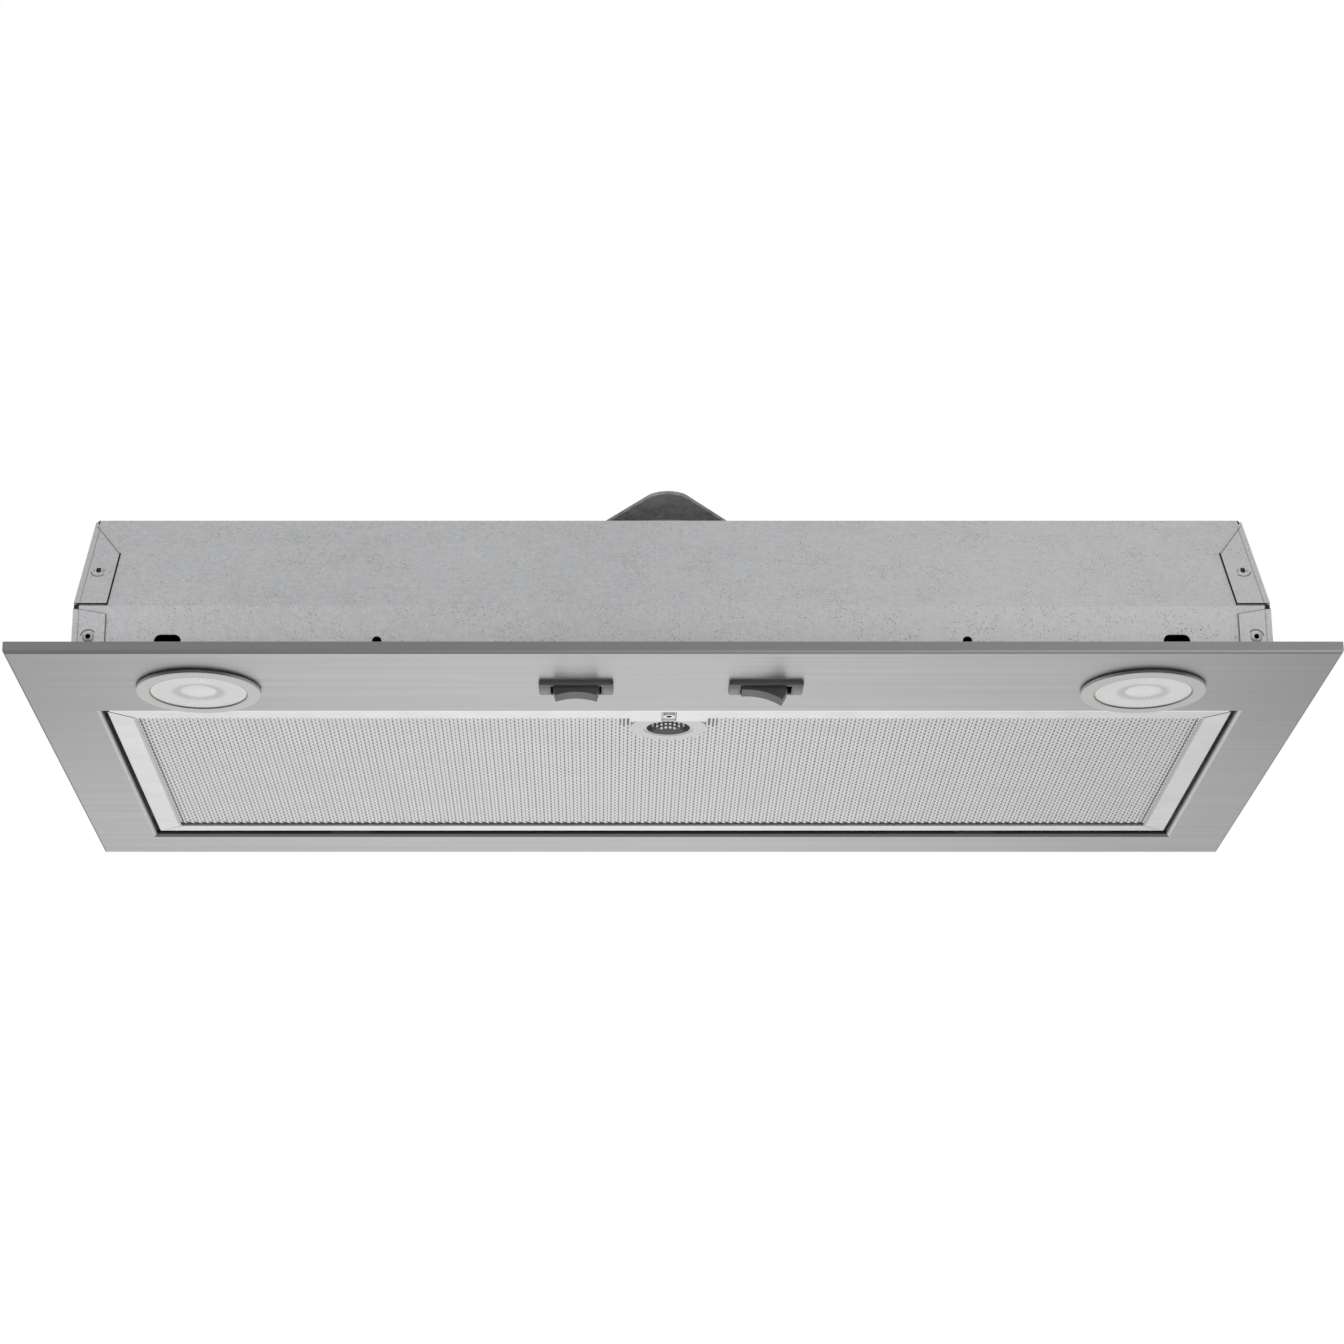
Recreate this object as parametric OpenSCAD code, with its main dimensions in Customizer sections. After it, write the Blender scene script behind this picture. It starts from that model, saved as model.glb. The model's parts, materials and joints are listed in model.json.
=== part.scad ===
// Range hood insert, built up as its real sheet-metal parts, in millimetres.
// The origin is the centre of the trim plate's underside. X runs across, Y to the rear, Z up.

/* [Trim plate] */
// Width of the trim plate, side to side
plate_w = 543; // [520:1:600]
// Depth of the trim plate, front to rear
plate_d = 293; // [288:1:320]
// Sheet thickness of the trim plate
plate_t = 0.9; // [0.7:0.1:1.2]
// Height of the lip turned up round the trim plate
lip_h = 5; // [4:0.5:8]
// Distance from the body's side to the filter opening in the trim plate
opening_side = 3.5; // [3:0.5:10]
// Distance from the plate's rear edge to the filter opening
opening_rear = 28; // [24:0.5:32]
// Distance from the plate's front edge to the filter opening
opening_front = 75; // [74:0.5:80]

/* [Body] */
// Width of the galvanised body over its side panels
body_w = 492; // [490:1:520]
// Sheet thickness of the body
body_t = 0.8; // [0.6:0.1:1]
// Height of the body's top above the trim plate's underside
body_h = 82.5; // [80:0.5:110]
// Distance from the plate's front edge to the front wall
front_setback = 14; // [13:0.5:15]
// Distance from the plate's rear edge to the rear wall
rear_setback = 10; // [8:0.5:12]
// Height of the bend where the front wall starts to lean back
bend_z = 25.5; // [22:0.5:28]
// How far the leaning front wall reaches back
slope_run = 48.5; // [46:0.5:49]
// Width of the tabs folded over the body from each side panel
tab_w = 13.4; // [12:0.2:16]

/* [Fixing holes] */
// Distance from the body's side to the middle of each long slot
slot_side = 39.2; // [34:0.2:46]
// End-to-end length of each slot
slot_l = 11; // [9:0.5:14]
// Height of each slot
slot_h = 5.5; // [4.5:0.1:6]
// Distance between the two round fixing holes
hole_span = 242; // [200:1:300]
// Diameter of each round fixing hole
hole_d = 4; // [3:0.1:5]
// Height of the fixing holes above the plate's underside
fix_z = 10.3; // [9.5:0.1:12]

/* [Filter] */
// Play beside the grease filter in its opening, on each side
filter_side_gap = 2.5; // [2:0.5:5]
// Play behind the grease filter in its opening
filter_rear_gap = 7.5; // [6.5:0.5:12]
// Height of the filter frame
filter_h = 7; // [6.5:0.1:9]
// Width of the frame's visible band along each side
side_rail_w = 11.4; // [10:0.2:15]
// Width of that band along the front
front_rail_w = 9.4; // [8.6:0.2:12]
// Width of that band along the rear
rear_rail_w = 8.4; // [8:0.2:12]
// Depth of that band where it carries the latch
rail_w = 13.6; // [13.6:0.2:16]
// Wall thickness of the filter frame
rail_t = 0.8; // [0.6:0.1:1]
// Travel of the filter's latch bolt
latch_travel = 4.5; // [3:0.5:5]

/* [Lamps] */
// Distance from the body's side to the middle of each lamp
lamp_side = 49; // [46:0.5:55]
// Distance from the plate's front edge to the lamps
lamp_front = 44.5; // [43:0.5:46]
// Diameter of the lamp's rim
lamp_rim_d = 52; // [50:0.5:53]
// Diameter of the lamp's lens
lens_d = 40.4; // [36:0.2:42]
// How far the lamp's rim hangs below the trim plate
rim_drop = 2.2; // [1.5:0.1:3]

/* [Switches] */
// Distance from the plate's middle to each rocker switch
switch_x = 39.5; // [34:0.5:60]
// Distance from the plate's front edge to the rocker switches
switch_front = 40.5; // [38:0.5:44]
// Length of a switch's bezel
bezel_l = 31; // [30:0.5:34]
// Width of a switch's bezel
bezel_w = 14.6; // [14:0.2:16]
// Angle a rocker tilts from level to either side
rocker_tilt = 14; // [8:1:15]

/* [Blower] */
// Outside diameter of the blower wheel
wheel_d = 104; // [98:1:105]
// Number of forward-curved blades in the wheel
blade_n = 36; // [24:1:42]
// Distance of the blower's shaft in front of the plate's middle
blower_fwd = 10.8; // [10:0.2:12]
// Diameter of the fan motor
motor_d = 60; // [52:1:61]
// Height of the motor bracket above the body's top
bracket_h = 18.5; // [16:0.5:24]

/* [Duct] */
// Width of the duct collar, outside
collar_w = 254; // [240:1:256]
// Depth of the duct collar, outside
collar_d = 82.6; // [78:0.2:83]
// Height of the duct collar above the body
collar_h = 32; // [26:1:40]
// Greatest angle to which the back-draught flap opens
flap_open = 75; // [60:1:80]

/* [Hidden] */
$fn = 64;

// Overrun of every cut, so that no skin is left
eps = 0.2;
// Gap left between pieces that lie close but don't touch
seat_gap = 0.3;
// Running clearance on the radius of pins and shafts
run_gap = 0.05;
// Slack beside pieces that slide on or drop into one another
slide_gap = 0.2;
// Air left under pieces that slide over a sheet
skim_gap = 0.1;

// Bend radius under the plate's lip and round the filter opening
lip_bend_r = 1.4;
opening_bend_r = 1.5;
// Height of the flange turned up round the filter opening
opening_rim_h = 3.4;
// Width of the notch in that flange for the latch bolt
latch_notch_w = 8;

// Outer faces of the body and of the filter opening
front_y = -plate_d / 2 + front_setback;
rear_y = plate_d / 2 - rear_setback;
slope_y = front_y + slope_run;
slope_rise = body_h - bend_z;
slope_l = norm([slope_run, slope_rise]);
slope_a = atan2(slope_rise, slope_run);
shell_w = body_w - 2 * body_t;
slot_span = body_w - 2 * slot_side;
opening_w = body_w - 2 * opening_side;
opening_y0 = -plate_d / 2 + opening_front;
opening_y1 = plate_d / 2 - opening_rear;
opening_d = opening_y1 - opening_y0;

// Flange folded along the body's lower edge
foot_w = 6;
side_foot_w = 10;
// Cut-away corner at the top and relief hole at the bend of each side panel
panel_notch = 3.6;
relief_r = 1.5;
// Gaps and slants of the tabs folded over from the side panels
tab_gap = 1;
tab_slant = 2.4;
upper_tab_share = 0.6;
top_tab_inset = 8;
rear_tab_gap = 6;

// Blind rivets
rivet_head_r = 2.5;
rivet_head_h = 1;
rivet_r = 1.6;
rivet_hole_r = 1;
rivet_tail_r = 2.1;
rivet_tail_h = 1.6;
rivet_in = 6.8;
rivet_low_z = 11.7;
rivet_up_l = 28.7;
rivet_top_inset = 30;
rivet_rear_low_z = 15;
rivet_rear_high_z = 60;

// Level and opening of the plate that carries the blower's inlet
inlet_z = 30;
inlet_t = 0.8;
inlet_hole_r = 44;
inlet_front_gap = 1.6;
inlet_foot_w = 3;
inlet_flange_h = 10;
inlet_notch_z = 4.4;
inlet_throat_r = 41;
inlet_flange_r = 51;
ring_t = 0.8;
bell_r = 4.6;

// Blower axis and wheel
axis_y = -blower_fwd;
wheel_r = wheel_d / 2;
blade_chord = 10;
blade_in_r = wheel_r - blade_chord;
wheel_low_gap = 0.4;
wheel_top_gap = 3.7;
wheel_z0 = inlet_z + inlet_t + bell_r + ring_t + wheel_low_gap;
wheel_z1 = body_h - body_t - wheel_top_gap;
blade_t = 0.7;
blade_sag = 2.6;
blade_steps = 6;
wheel_rim_t = 1;
wheel_rim_w = 2.2;
dish_t = 0.8;
dish_top_r = 39;
dish_bottom_r = 34;
dish_rise = 20;
dish_z = inlet_z + inlet_t + dish_rise;
hub_r = 7;
hub_h = 7;
shaft_r = 3;

// Scroll round the wheel
scroll_t = 0.8;
tongue_gap = 6;
tongue_a = 60;
scroll_growth = 0.055;
scroll_steps = 30;
plenum_gap = 0.2;
plenum_past = 1;
plenum_w = collar_w + 2 * plenum_past;
flare_l = 16;
nose_steps = 7;

// Motor and its bracket
motor_lift = 5;
motor_z0 = dish_z + motor_lift;
motor_end_t = 1.2;
motor_body_share = 0.94;
motor_nose_share = 0.62;
motor_nose_l = 6;
motor_r = motor_body_share * motor_d / 2;
motor_tap_deep = 6;
bearing_r = 6;
bearing_h = 5;
motor_band_h = 16;
motor_band_out = 1.2;
vent_n = 8;
vent_w = 5;
vent_l = 9;
vent_up = 6.5;
bracket_t = 1.5;
bracket_z = body_h + bracket_h;
bracket_corner_r = 10;
corner_steps = 10;
bracket_front = 48;
bracket_rear = 27;
bracket_half_w = 46;
leg_w = 20;
leg_share = 0.61;
foot_l = 9;
motor_hole_r = 32.5;
motor_screw_r = 20;
grommet_r = 5;
grommet_waist_r = 3.5;
grommet_lip = 1.2;
grommet_bore_r = 2;
screw_head_r = 3.6;
screw_head_h = 2;
screw_r = 2;
screw_slot_w = 1;
screw_slot_share = 0.6;
screw_past = 2;

// Capacitor on the inlet plate, beside the scroll
cap_r = 13;
cap_l = 46;
cap_x = 166;
cap_front_gap = 20;
cap_y0 = slope_y + cap_front_gap;
clip_t = 0.8;
clip_w = 14;
clip_foot = 9;
clip_steps = 16;

// Duct collar and back-draught flap
collar_t = 0.8;
collar_flange = 9;
collar_back = 3.5;
collar_y1 = rear_y - collar_back;
collar_y0 = collar_y1 - collar_d;
bead_h = 3;
bead_out = 0.8;
bead_drop = 9;
rod_r = 2;
rod_up = 10;
rod_in = 6;
rod_out = 2.5;
rod_y = collar_y1 - collar_t - rod_in;
rod_z = body_h + rod_up;
flap_t = 0.6;
flap_gap = 1.2;
knuckle_r = 3.4;
knuckle_n = 3;
knuckle_l = 30;
stop_w = 18;
stop_reach = 3.4;
stop_gap = 0.2;
lug_w = 14;
lug_l = (rod_in - flap_t * cos(flap_open) / 2) / sin(flap_open) - stop_gap;

// Wiring box on the body's top
box_collar_gap = 14.6;
box_d = 88;
box_h = 36;
box_t = 0.9;
box_tab_gap = 3;
box_x0 = -body_w / 2 + tab_w + box_tab_gap;
box_w = -collar_w / 2 - box_collar_gap - box_x0;
box_y0 = 20;
cover_lip = 6;
entry_r = 11.1;
entry_up = 18;
entry_z = body_h + entry_up;
box_screw_in = 14;
box_ear = 9;
grommet_hole_r = 8;
wire_grommet_lip = 2;
wire_grommet_wall = 2;
block_l = 36;
block_w = 15;
block_h = 13;
block_poles = 3;
pole_r = 3;
pole_deep = 6;
barrier_t = 1.4;
barrier_h = 3;

// Filter, its mesh and its latch
filter_front_gap = 1.5;
filter_y0 = opening_y0 + filter_front_gap;
filter_y1 = opening_y1 - filter_rear_gap;
filter_w = opening_w - 2 * filter_side_gap;
filter_d = filter_y1 - filter_y0;
filter_z0 = 0.6;
filter_z1 = filter_z0 + filter_h;
rail_top_w = 10;
rail_edge_r = 0.7;
mitre_w = 0.3;
mitre_share = 0.8;
pad_gap = 0.3;
mesh_t = 0.5;
core_t = 0.45;
core_pitch = 9;
core_flat_share = 0.25;
bolt_w = 6;
bolt_t = 0.8;
bolt_reach = 3.6;
bolt_z0 = filter_z0 + rail_t + skim_gap;
bolt_rear = 2.6;
bolt_tab_rise = 2.4;
bolt_tail_rise = 1.4;
eyelet_in = 5.6;
eyelet_y = filter_y0 + eyelet_in;
eyelet_r = 2.4;
eyelet_bore_r = 1.1;
eyelet_drop = 0.5;
window_w = bolt_w + 2 * slide_gap;
window_in = 1;
window_spare = 1;
window_y0 = filter_y0 + window_in;
window_y1 = eyelet_y + eyelet_r + latch_travel + window_spare;
guide_w = 15;
guide_h = 5;
guide_t = 0.8;
guide_in = 1.5;
guide_back = 0.6;
guide_y0 = filter_y0 + guide_in;
guide_y1 = filter_y0 + rail_w - guide_back;
spring_t = 0.35;
spring_h = 2;
spring_w = 5;
spring_waves = 5;
cup_r = 9.5;
cup_in = 10.4;
cup_y = filter_y0 + rail_w + cup_in;
cup_deep = 4.6;
cup_t = 0.5;
cup_flange_r = 16.5;
cup_sphere_r = (cup_r * cup_r + cup_deep * cup_deep) / (2 * cup_deep);
tab_hinge_w = 18;
tab_hinge_t = 1;
tab_hinge_x = 150;
tab_hinge_rise = 0.6;
tab_hinge_past = 5;
tab_hinge_leg = 2.6;

// Lamp, its lens and its holder
lamp_x = body_w / 2 - lamp_side;
lamp_y = -plate_d / 2 + lamp_front;
lamp_rim_r = lamp_rim_d / 2;
lens_r = lens_d / 2;
lens_deep = 1.6;
lens_gap = 0.1;
lens_inset = 0.2;
lens_dish = 0.3;
rim_edge = 0.3;
lamp_neck_r = 23;
lamp_hole_r = 23.6;
lamp_shoulder_z = 6;
lamp_taper_r = 14;
lamp_base_r = 12.3;
lamp_base_l = 10;
lamp_base_drop = 16.5;
fin_n = 20;
fin_slot_w = 2;
fin_deep = 3.2;
pin_at = 5;
pin_r = 1.1;
pin_head_r = 2.3;
pin_l = 6;
pin_head_h = 1.6;
lamp_twist = 45;
key_spare = 30;
holder_l = 31;
holder_w = 15;
holder_front_y = lamp_y - holder_w / 2;
wall_over_holder_z = bend_z + (holder_front_y - front_y) * slope_rise / slope_run;
lamp_base_z = wall_over_holder_z - lamp_base_drop;
lamp_taper_z = lamp_base_z - lamp_base_l;
holder_z0 = lamp_base_z + seat_gap;
holder_h = 11.7;
lamp_bracket_z = holder_z0 + holder_h;
key_deep = 7;
key_gap = 0.5;
lamp_bracket_w = 15;
lamp_bracket_span = 58;
lamp_bracket_foot = 8;
bracket_sheet_t = 0.8;

// Rocker switches
switch_y = -plate_d / 2 + switch_front;
bezel_h = 2;
bezel_r = 1;
bezel_corner_r = 2;
switch_l = 27;
switch_w = 11.4;
switch_top = 18;
cut_gap = 0.3;
cavity_l = 21.2;
cavity_w = 9.4;
cavity_z = 9;
pivot_z = 2;
rocker_w = 8.8;
rocker_end = 7.7;
rocker_half = 8.6;
rocker_root = 9.8;
rocker_root_z = 3.4;
rocker_neck = 5;
rocker_top = 3.4;
saddle_sag = 1.4;
saddle_steps = 10;
rocker_pin_r = 1;
rocker_pin_out = 0.7;
spade_w = 6.3;
spade_t = 0.8;
spade_l = 8;
spade_hole_r = 0.9;
spade_hole_share = 0.7;
spade_pitch = 8;

// Finishes, as they look in the photograph
steel_c = [0.71, 0.71, 0.71];
zinc_c = [0.67, 0.68, 0.68];
alu_c = [0.86, 0.86, 0.86];
dark_c = [0.2, 0.2, 0.21];
black_c = [0.1, 0.1, 0.1];
white_c = [0.93, 0.93, 0.92];
cream_c = [0.85, 0.82, 0.74];

// Helpers for folded sheet

// Unit vector to the left of a 2D direction
function left_of(v) = [-v.y, v.x] / norm(v);

// Left offset of one corner of a path, mitred
function corner_offset(a, b, c, t) =
  let (n1 = left_of(b - a), n2 = left_of(c - b)) b + t * (n1 + n2) / (1 + n1 * n2);

// The whole path moved to its left by t
function offset_path(p, t) = [
  for (i = [0 : len(p) - 1])
    i == 0 ? p[0] + t * left_of(p[1] - p[0])
    : i == len(p) - 1 ? p[i] + t * left_of(p[i] - p[i - 1])
    : corner_offset(p[i - 1], p[i], p[i + 1], t)
];

function reversed(p) = [for (i = [len(p) - 1 : -1 : 0]) p[i]];

// Section of a sheet that follows a path, with its thickness on the path's left
module sheet_section(p, t) {
  polygon(concat(p, reversed(offset_path(p, t))));
}

// Extrudes a Y-Z section along X, centred
module along_x(l) {
  translate([-l / 2, 0, 0]) rotate([90, 0, 90]) linear_extrude(l) children();
}

// A bar of a section in X-Z, run along Y from y0 to y1
module along_y(y0, y1) {
  translate([0, y1, 0]) rotate([90, 0, 0]) linear_extrude(y1 - y0) children();
}

// A box between two corners
module block(low, high) {
  translate(low) cube(high - low);
}

// Section of a wall with its lower edges rounded, centred on its width
module round_bottom(w, h, r) {
  union() {
    translate([-w / 2 + r, 0]) square([w - 2 * r, h]);
    translate([-w / 2, r]) square([w, h - r]);
    for (s = [-1, 1]) translate([s * (w / 2 - r), r]) circle(r);
  }
}

// A flat outline with its four corners rounded, centred on its width
module round_ended(w, h, r) {
  union() {
    translate([-w / 2 + r, 0]) square([w - 2 * r, h]);
    translate([-w / 2, r]) square([w, h - 2 * r]);
    for (s = [-1, 1], y = [r, h - r]) translate([s * (w / 2 - r), y]) circle(r);
  }
}

// A block whose four lower edges are rounded
module soft_block(w, d, h, r) {
  intersection() {
    translate([0, d / 2, 0]) rotate([90, 0, 0]) linear_extrude(d) round_bottom(w, h, r);
    translate([-w / 2, 0, 0]) rotate([90, 0, 90]) linear_extrude(w) round_bottom(d, h, r);
  }
}

// Section of a hole whose lower edge flares out over a rounded bend
module flare_section(w, h, r) {
  union() {
    translate([-w / 2, -eps]) square([w, h + 2 * eps]);
    difference() {
      translate([-w / 2 - r, -eps]) square([w + 2 * r, r + eps]);
      for (s = [-1, 1]) translate([s * (w / 2 + r), r]) circle(r);
    }
  }
}

// A rectangular hole with that flare on all four sides
module flared_hole(w, d, h, r) {
  reach = 2 * r;
  intersection() {
    translate([0, d / 2 + reach, 0]) rotate([90, 0, 0]) linear_extrude(d + 2 * reach)
      flare_section(w, h, r);
    translate([-w / 2 - reach, 0, 0]) rotate([90, 0, 90]) linear_extrude(w + 2 * reach)
      flare_section(d, h, r);
  }
}

// A slot along X with round ends, cut along Y
module y_slot(l, h, depth) {
  rotate([90, 0, 0]) {
    translate([0, 0, -depth / 2]) {
      for (s = [-1, 1]) translate([s * (l - h) / 2, 0, 0]) cylinder(h = depth, d = h);
      translate([-(l - h) / 2, -h / 2, 0]) cube([l - h, h, depth]);
    }
  }
}

// Frame on the leaning wall: Y runs up the slope from the bend, Z points out
module on_slope() {
  translate([0, front_y, bend_z]) rotate([slope_a, 0, 0]) children();
}

// A pan-head screw standing on z = 0, with its shank below
module pan_screw(head_r, head_h, shank_r, shank_l) {
  difference() {
    union() {
      rotate_extrude() intersection() {
        translate([0, head_h - 2 * head_r]) circle(2 * head_r);
        square([head_r, head_h]);
      }
      translate([0, 0, -shank_l]) cylinder(h = shank_l + eps, r = shank_r);
    }
    for (a = [0, 90]) rotate([0, 0, a])
      translate([-head_r * screw_slot_share, -screw_slot_w / 2, head_h / 2])
        cube([2 * head_r * screw_slot_share, screw_slot_w, head_h]);
  }
}

// Trim plate

module trim_plate() {
  rim_w = opening_w + 2 * plate_t;
  rim_d = opening_d + 2 * plate_t;
  opening_cy = (opening_y0 + opening_y1) / 2;
  color(steel_c) difference() {
    union() {
      difference() {
        soft_block(plate_w, plate_d, lip_h, lip_bend_r);
        block(
          [-plate_w / 2 + plate_t, -plate_d / 2 + plate_t, plate_t],
          [plate_w / 2 - plate_t, plate_d / 2 - plate_t, lip_h + eps]
        );
      }
      translate([-rim_w / 2, opening_cy - rim_d / 2, 0]) cube([rim_w, rim_d, opening_rim_h]);
    }
    translate([0, opening_cy, 0]) flared_hole(opening_w, opening_d, opening_rim_h, opening_bend_r);
    block(
      [-latch_notch_w / 2, opening_y0 - plate_t - eps, plate_t],
      [latch_notch_w / 2, opening_y0 + eps, opening_rim_h + eps]
    );
    for (s = [-1, 1]) {
      translate([s * lamp_x, lamp_y, -eps]) cylinder(h = plate_t + 2 * eps, r = lamp_hole_r);
      translate([s * switch_x, switch_y, 0]) block(
        [-switch_l / 2 - cut_gap, -switch_w / 2 - cut_gap, -eps],
        [switch_l / 2 + cut_gap, switch_w / 2 + cut_gap, plate_t + eps]
      );
    }
  }
}

// Body shell, side panels and rivets

// Outer line of the folded shell in Y-Z, from its front foot over the top to its rear foot
shell_line = [
  [front_y, plate_t],
  [front_y, bend_z],
  [slope_y, body_h],
  [rear_y, body_h],
  [rear_y, plate_t]
];

module body_shell() {
  feet_line = concat(
    [[front_y + foot_w, plate_t]], shell_line, [[rear_y - foot_w, plate_t]]
  );
  color(zinc_c) difference() {
    along_x(shell_w) sheet_section(feet_line, -body_t);
    for (y = [front_y, rear_y], s = [-1, 1]) {
      translate([s * slot_span / 2, y, fix_z]) y_slot(slot_l, slot_h, 4 * body_t);
      translate([s * hole_span / 2, y, fix_z]) rotate([90, 0, 0])
        cylinder(h = 4 * body_t, d = hole_d, center = true);
    }
    translate([0, axis_y, body_h - body_t - eps]) cylinder(h = body_t + 2 * eps, r = motor_hole_r);
    block(
      [-collar_w / 2 + collar_t, collar_y0 + collar_t, body_h - body_t - eps],
      [collar_w / 2 - collar_t, collar_y1 - collar_t, body_h + eps]
    );
    translate([box_x0 + box_w / 2, box_y0 + box_d / 2, body_h - body_t - eps])
      cylinder(h = body_t + 2 * eps, r = grommet_hole_r);
    rivet_places() translate([0, 0, -body_t - eps]) cylinder(h = body_t + 2 * eps, r = rivet_r);
    for (p = foot_points) translate([p.x, p.y, body_h - body_t - eps])
      cylinder(h = body_t + 2 * eps, r = screw_r);
  }
}

// Outline of one side panel: the shell's line moved out by one sheet, with its front top
// corner cut away
module panel_outline() {
  line = offset_path(shell_line, body_t);
  polygon([
    line[0],
    line[1],
    line[2] - panel_notch * [slope_run, slope_rise] / slope_l,
    line[2] + [panel_notch, 0],
    line[3],
    line[4]
  ]);
}

// Right-hand side panel, with its tabs folded over the front, the top and the rear
module side_panel() {
  face_x = body_w / 2 - body_t;
  reach = tab_w - body_t;
  color(zinc_c) difference() {
    union() {
      translate([face_x, 0, 0]) rotate([90, 0, 90]) linear_extrude(body_t) panel_outline();
      block(
        [face_x, front_y + foot_w, plate_t],
        [body_w / 2 + side_foot_w, rear_y - foot_w, plate_t + body_t]
      );
      translate([body_w / 2, front_y, 0]) rotate([90, 0, 0]) linear_extrude(body_t)
        polygon([
          [0, plate_t],
          [0, bend_z - tab_gap],
          [-tab_w, bend_z - tab_gap - tab_slant],
          [-tab_w, plate_t]
        ]);
      on_slope() translate([body_w / 2, 0, 0]) linear_extrude(body_t) polygon([
        [0, tab_gap],
        [0, slope_l - panel_notch],
        [-body_t, slope_l - panel_notch],
        [-tab_w, upper_tab_share * slope_l],
        [-tab_w, tab_gap]
      ]);
      translate([body_w / 2, 0, body_h]) linear_extrude(body_t) polygon([
        [0, slope_y + top_tab_inset],
        [0, rear_y - top_tab_inset],
        [-tab_w, rear_y - top_tab_inset - tab_w / 2],
        [-tab_w, slope_y + top_tab_inset + tab_w / 2]
      ]);
      translate([body_w / 2, rear_y + body_t, 0]) rotate([90, 0, 0]) linear_extrude(body_t)
        polygon([
          [0, rear_tab_gap],
          [0, body_h - rear_tab_gap],
          [-tab_w, body_h - rear_tab_gap - tab_w / 2],
          [-tab_w, rear_tab_gap + tab_slant]
        ]);
    }
    translate([0, front_y - body_t / 2, bend_z]) rotate([0, 90, 0])
      cylinder(h = body_w, r = relief_r);
    rivet_places() translate([0, 0, -eps]) cylinder(h = body_t + 2 * eps, r = rivet_r);
  }
}

module right_side_panel() { side_panel(); }

module left_side_panel() { mirror([1, 0, 0]) side_panel(); }

// Puts its children at each rivet, with Z pointing out of the shell's face
module rivet_places() {
  x = body_w / 2 - rivet_in;
  for (s = [-1, 1]) {
    translate([s * x, front_y, rivet_low_z]) rotate([90, 0, 0]) children();
    on_slope() translate([s * x, rivet_up_l, 0]) children();
    for (y = [slope_y + rivet_top_inset, rear_y - rivet_top_inset])
      translate([s * x, y, body_h]) children();
    for (z = [rivet_rear_low_z, rivet_rear_high_z])
      translate([s * x, rear_y, z]) rotate([-90, 0, 0]) children();
  }
}

module body_rivets() {
  dome_r = (rivet_head_r * rivet_head_r + rivet_head_h * rivet_head_h) / (2 * rivet_head_h);
  color(zinc_c) rivet_places() difference() {
    union() {
      translate([0, 0, body_t]) rotate_extrude() intersection() {
        translate([0, rivet_head_h - dome_r]) circle(dome_r);
        square([rivet_head_r, rivet_head_h]);
      }
      translate([0, 0, -body_t]) cylinder(h = 2 * body_t, r = rivet_r);
      translate([0, 0, -body_t - rivet_tail_h]) cylinder(h = rivet_tail_h, r = rivet_tail_r);
    }
    translate([0, 0, -body_t - rivet_tail_h / 2])
      cylinder(h = 2 * body_t + rivet_tail_h / 2 + rivet_head_h, r = rivet_hole_r);
  }
}

// Blower: inlet plate and ring, scroll, wheel

module inlet_plate() {
  y0 = opening_y0 - plate_t - inlet_front_gap;
  line = [
    [y0 - inlet_foot_w, plate_t + inlet_t],
    [y0, plate_t + inlet_t],
    [y0, inlet_z + inlet_t],
    [rear_y - body_t, inlet_z + inlet_t],
    [rear_y - body_t, inlet_z + inlet_t - inlet_flange_h]
  ];
  color(zinc_c) difference() {
    along_x(shell_w) sheet_section(line, -inlet_t);
    translate([0, axis_y, inlet_z - eps]) cylinder(h = inlet_t + 2 * eps, r = inlet_hole_r);
    block(
      [-latch_notch_w / 2, y0 - inlet_foot_w - eps, 0],
      [latch_notch_w / 2, y0 + inlet_t + eps, inlet_notch_z]
    );
  }
}

// Bell mouth that leads the air into the wheel
module inlet_ring() {
  z0 = inlet_z + inlet_t;
  bell_x = inlet_throat_r + ring_t + bell_r;
  color(zinc_c) translate([0, axis_y, 0]) rotate_extrude($fn = 96) union() {
    translate([bell_x, z0]) square([inlet_flange_r - bell_x, ring_t]);
    intersection() {
      difference() {
        translate([bell_x, z0 + bell_r + ring_t]) circle(bell_r + ring_t);
        translate([bell_x, z0 + bell_r + ring_t]) circle(bell_r);
      }
      translate([inlet_throat_r, z0]) square([bell_r + ring_t, bell_r + ring_t]);
    }
  }
}

// Air-side line of the scroll: rear left corner, plenum front, tongue, spiral, flare, rear right
function spiral_r(a) =
  (wheel_r + tongue_gap) * exp(scroll_growth * (a - tongue_a) * PI / 180);
function spiral_point(a) = [0, axis_y] + spiral_r(a) * [cos(a), sin(a)];

module blower_scroll() {
  z0 = inlet_z + inlet_t;
  z1 = body_h - body_t;
  plenum_y0 = collar_y0 + plenum_gap;
  rear_in = rear_y - body_t;
  tongue = spiral_point(tongue_a);
  nose_r = (plenum_y0 - tongue.y) / (1 + sin(tongue_a));
  nose_c = tongue + nose_r * [cos(tongue_a), sin(tongue_a)];
  spiral_end = spiral_point(360);
  line = concat(
    [[-plenum_w / 2, rear_in], [-plenum_w / 2, plenum_y0]],
    [
      for (i = [0 : nose_steps])
        let (a = 90 - i * (270 - tongue_a) / nose_steps) nose_c + nose_r * [cos(a), sin(a)]
    ],
    [
      for (i = [1 : scroll_steps])
        spiral_point(tongue_a + i * (360 - tongue_a) / scroll_steps)
    ],
    [
      spiral_end + [scroll_growth * flare_l, flare_l],
      [plenum_w / 2, plenum_y0 + flare_l / 2],
      [plenum_w / 2, rear_in]
    ]
  );
  color(zinc_c) translate([0, 0, z0]) linear_extrude(z1 - z0) sheet_section(line, -scroll_t);
}

// Centre line of one forward-curved blade, from its inner to its outer end
function blade_line() = [
  for (i = [0 : blade_steps])
    let (s = i / blade_steps)
      [blade_in_r + s * (blade_chord - blade_t), blade_sag * (3 * s - 2) * s]
];

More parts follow.
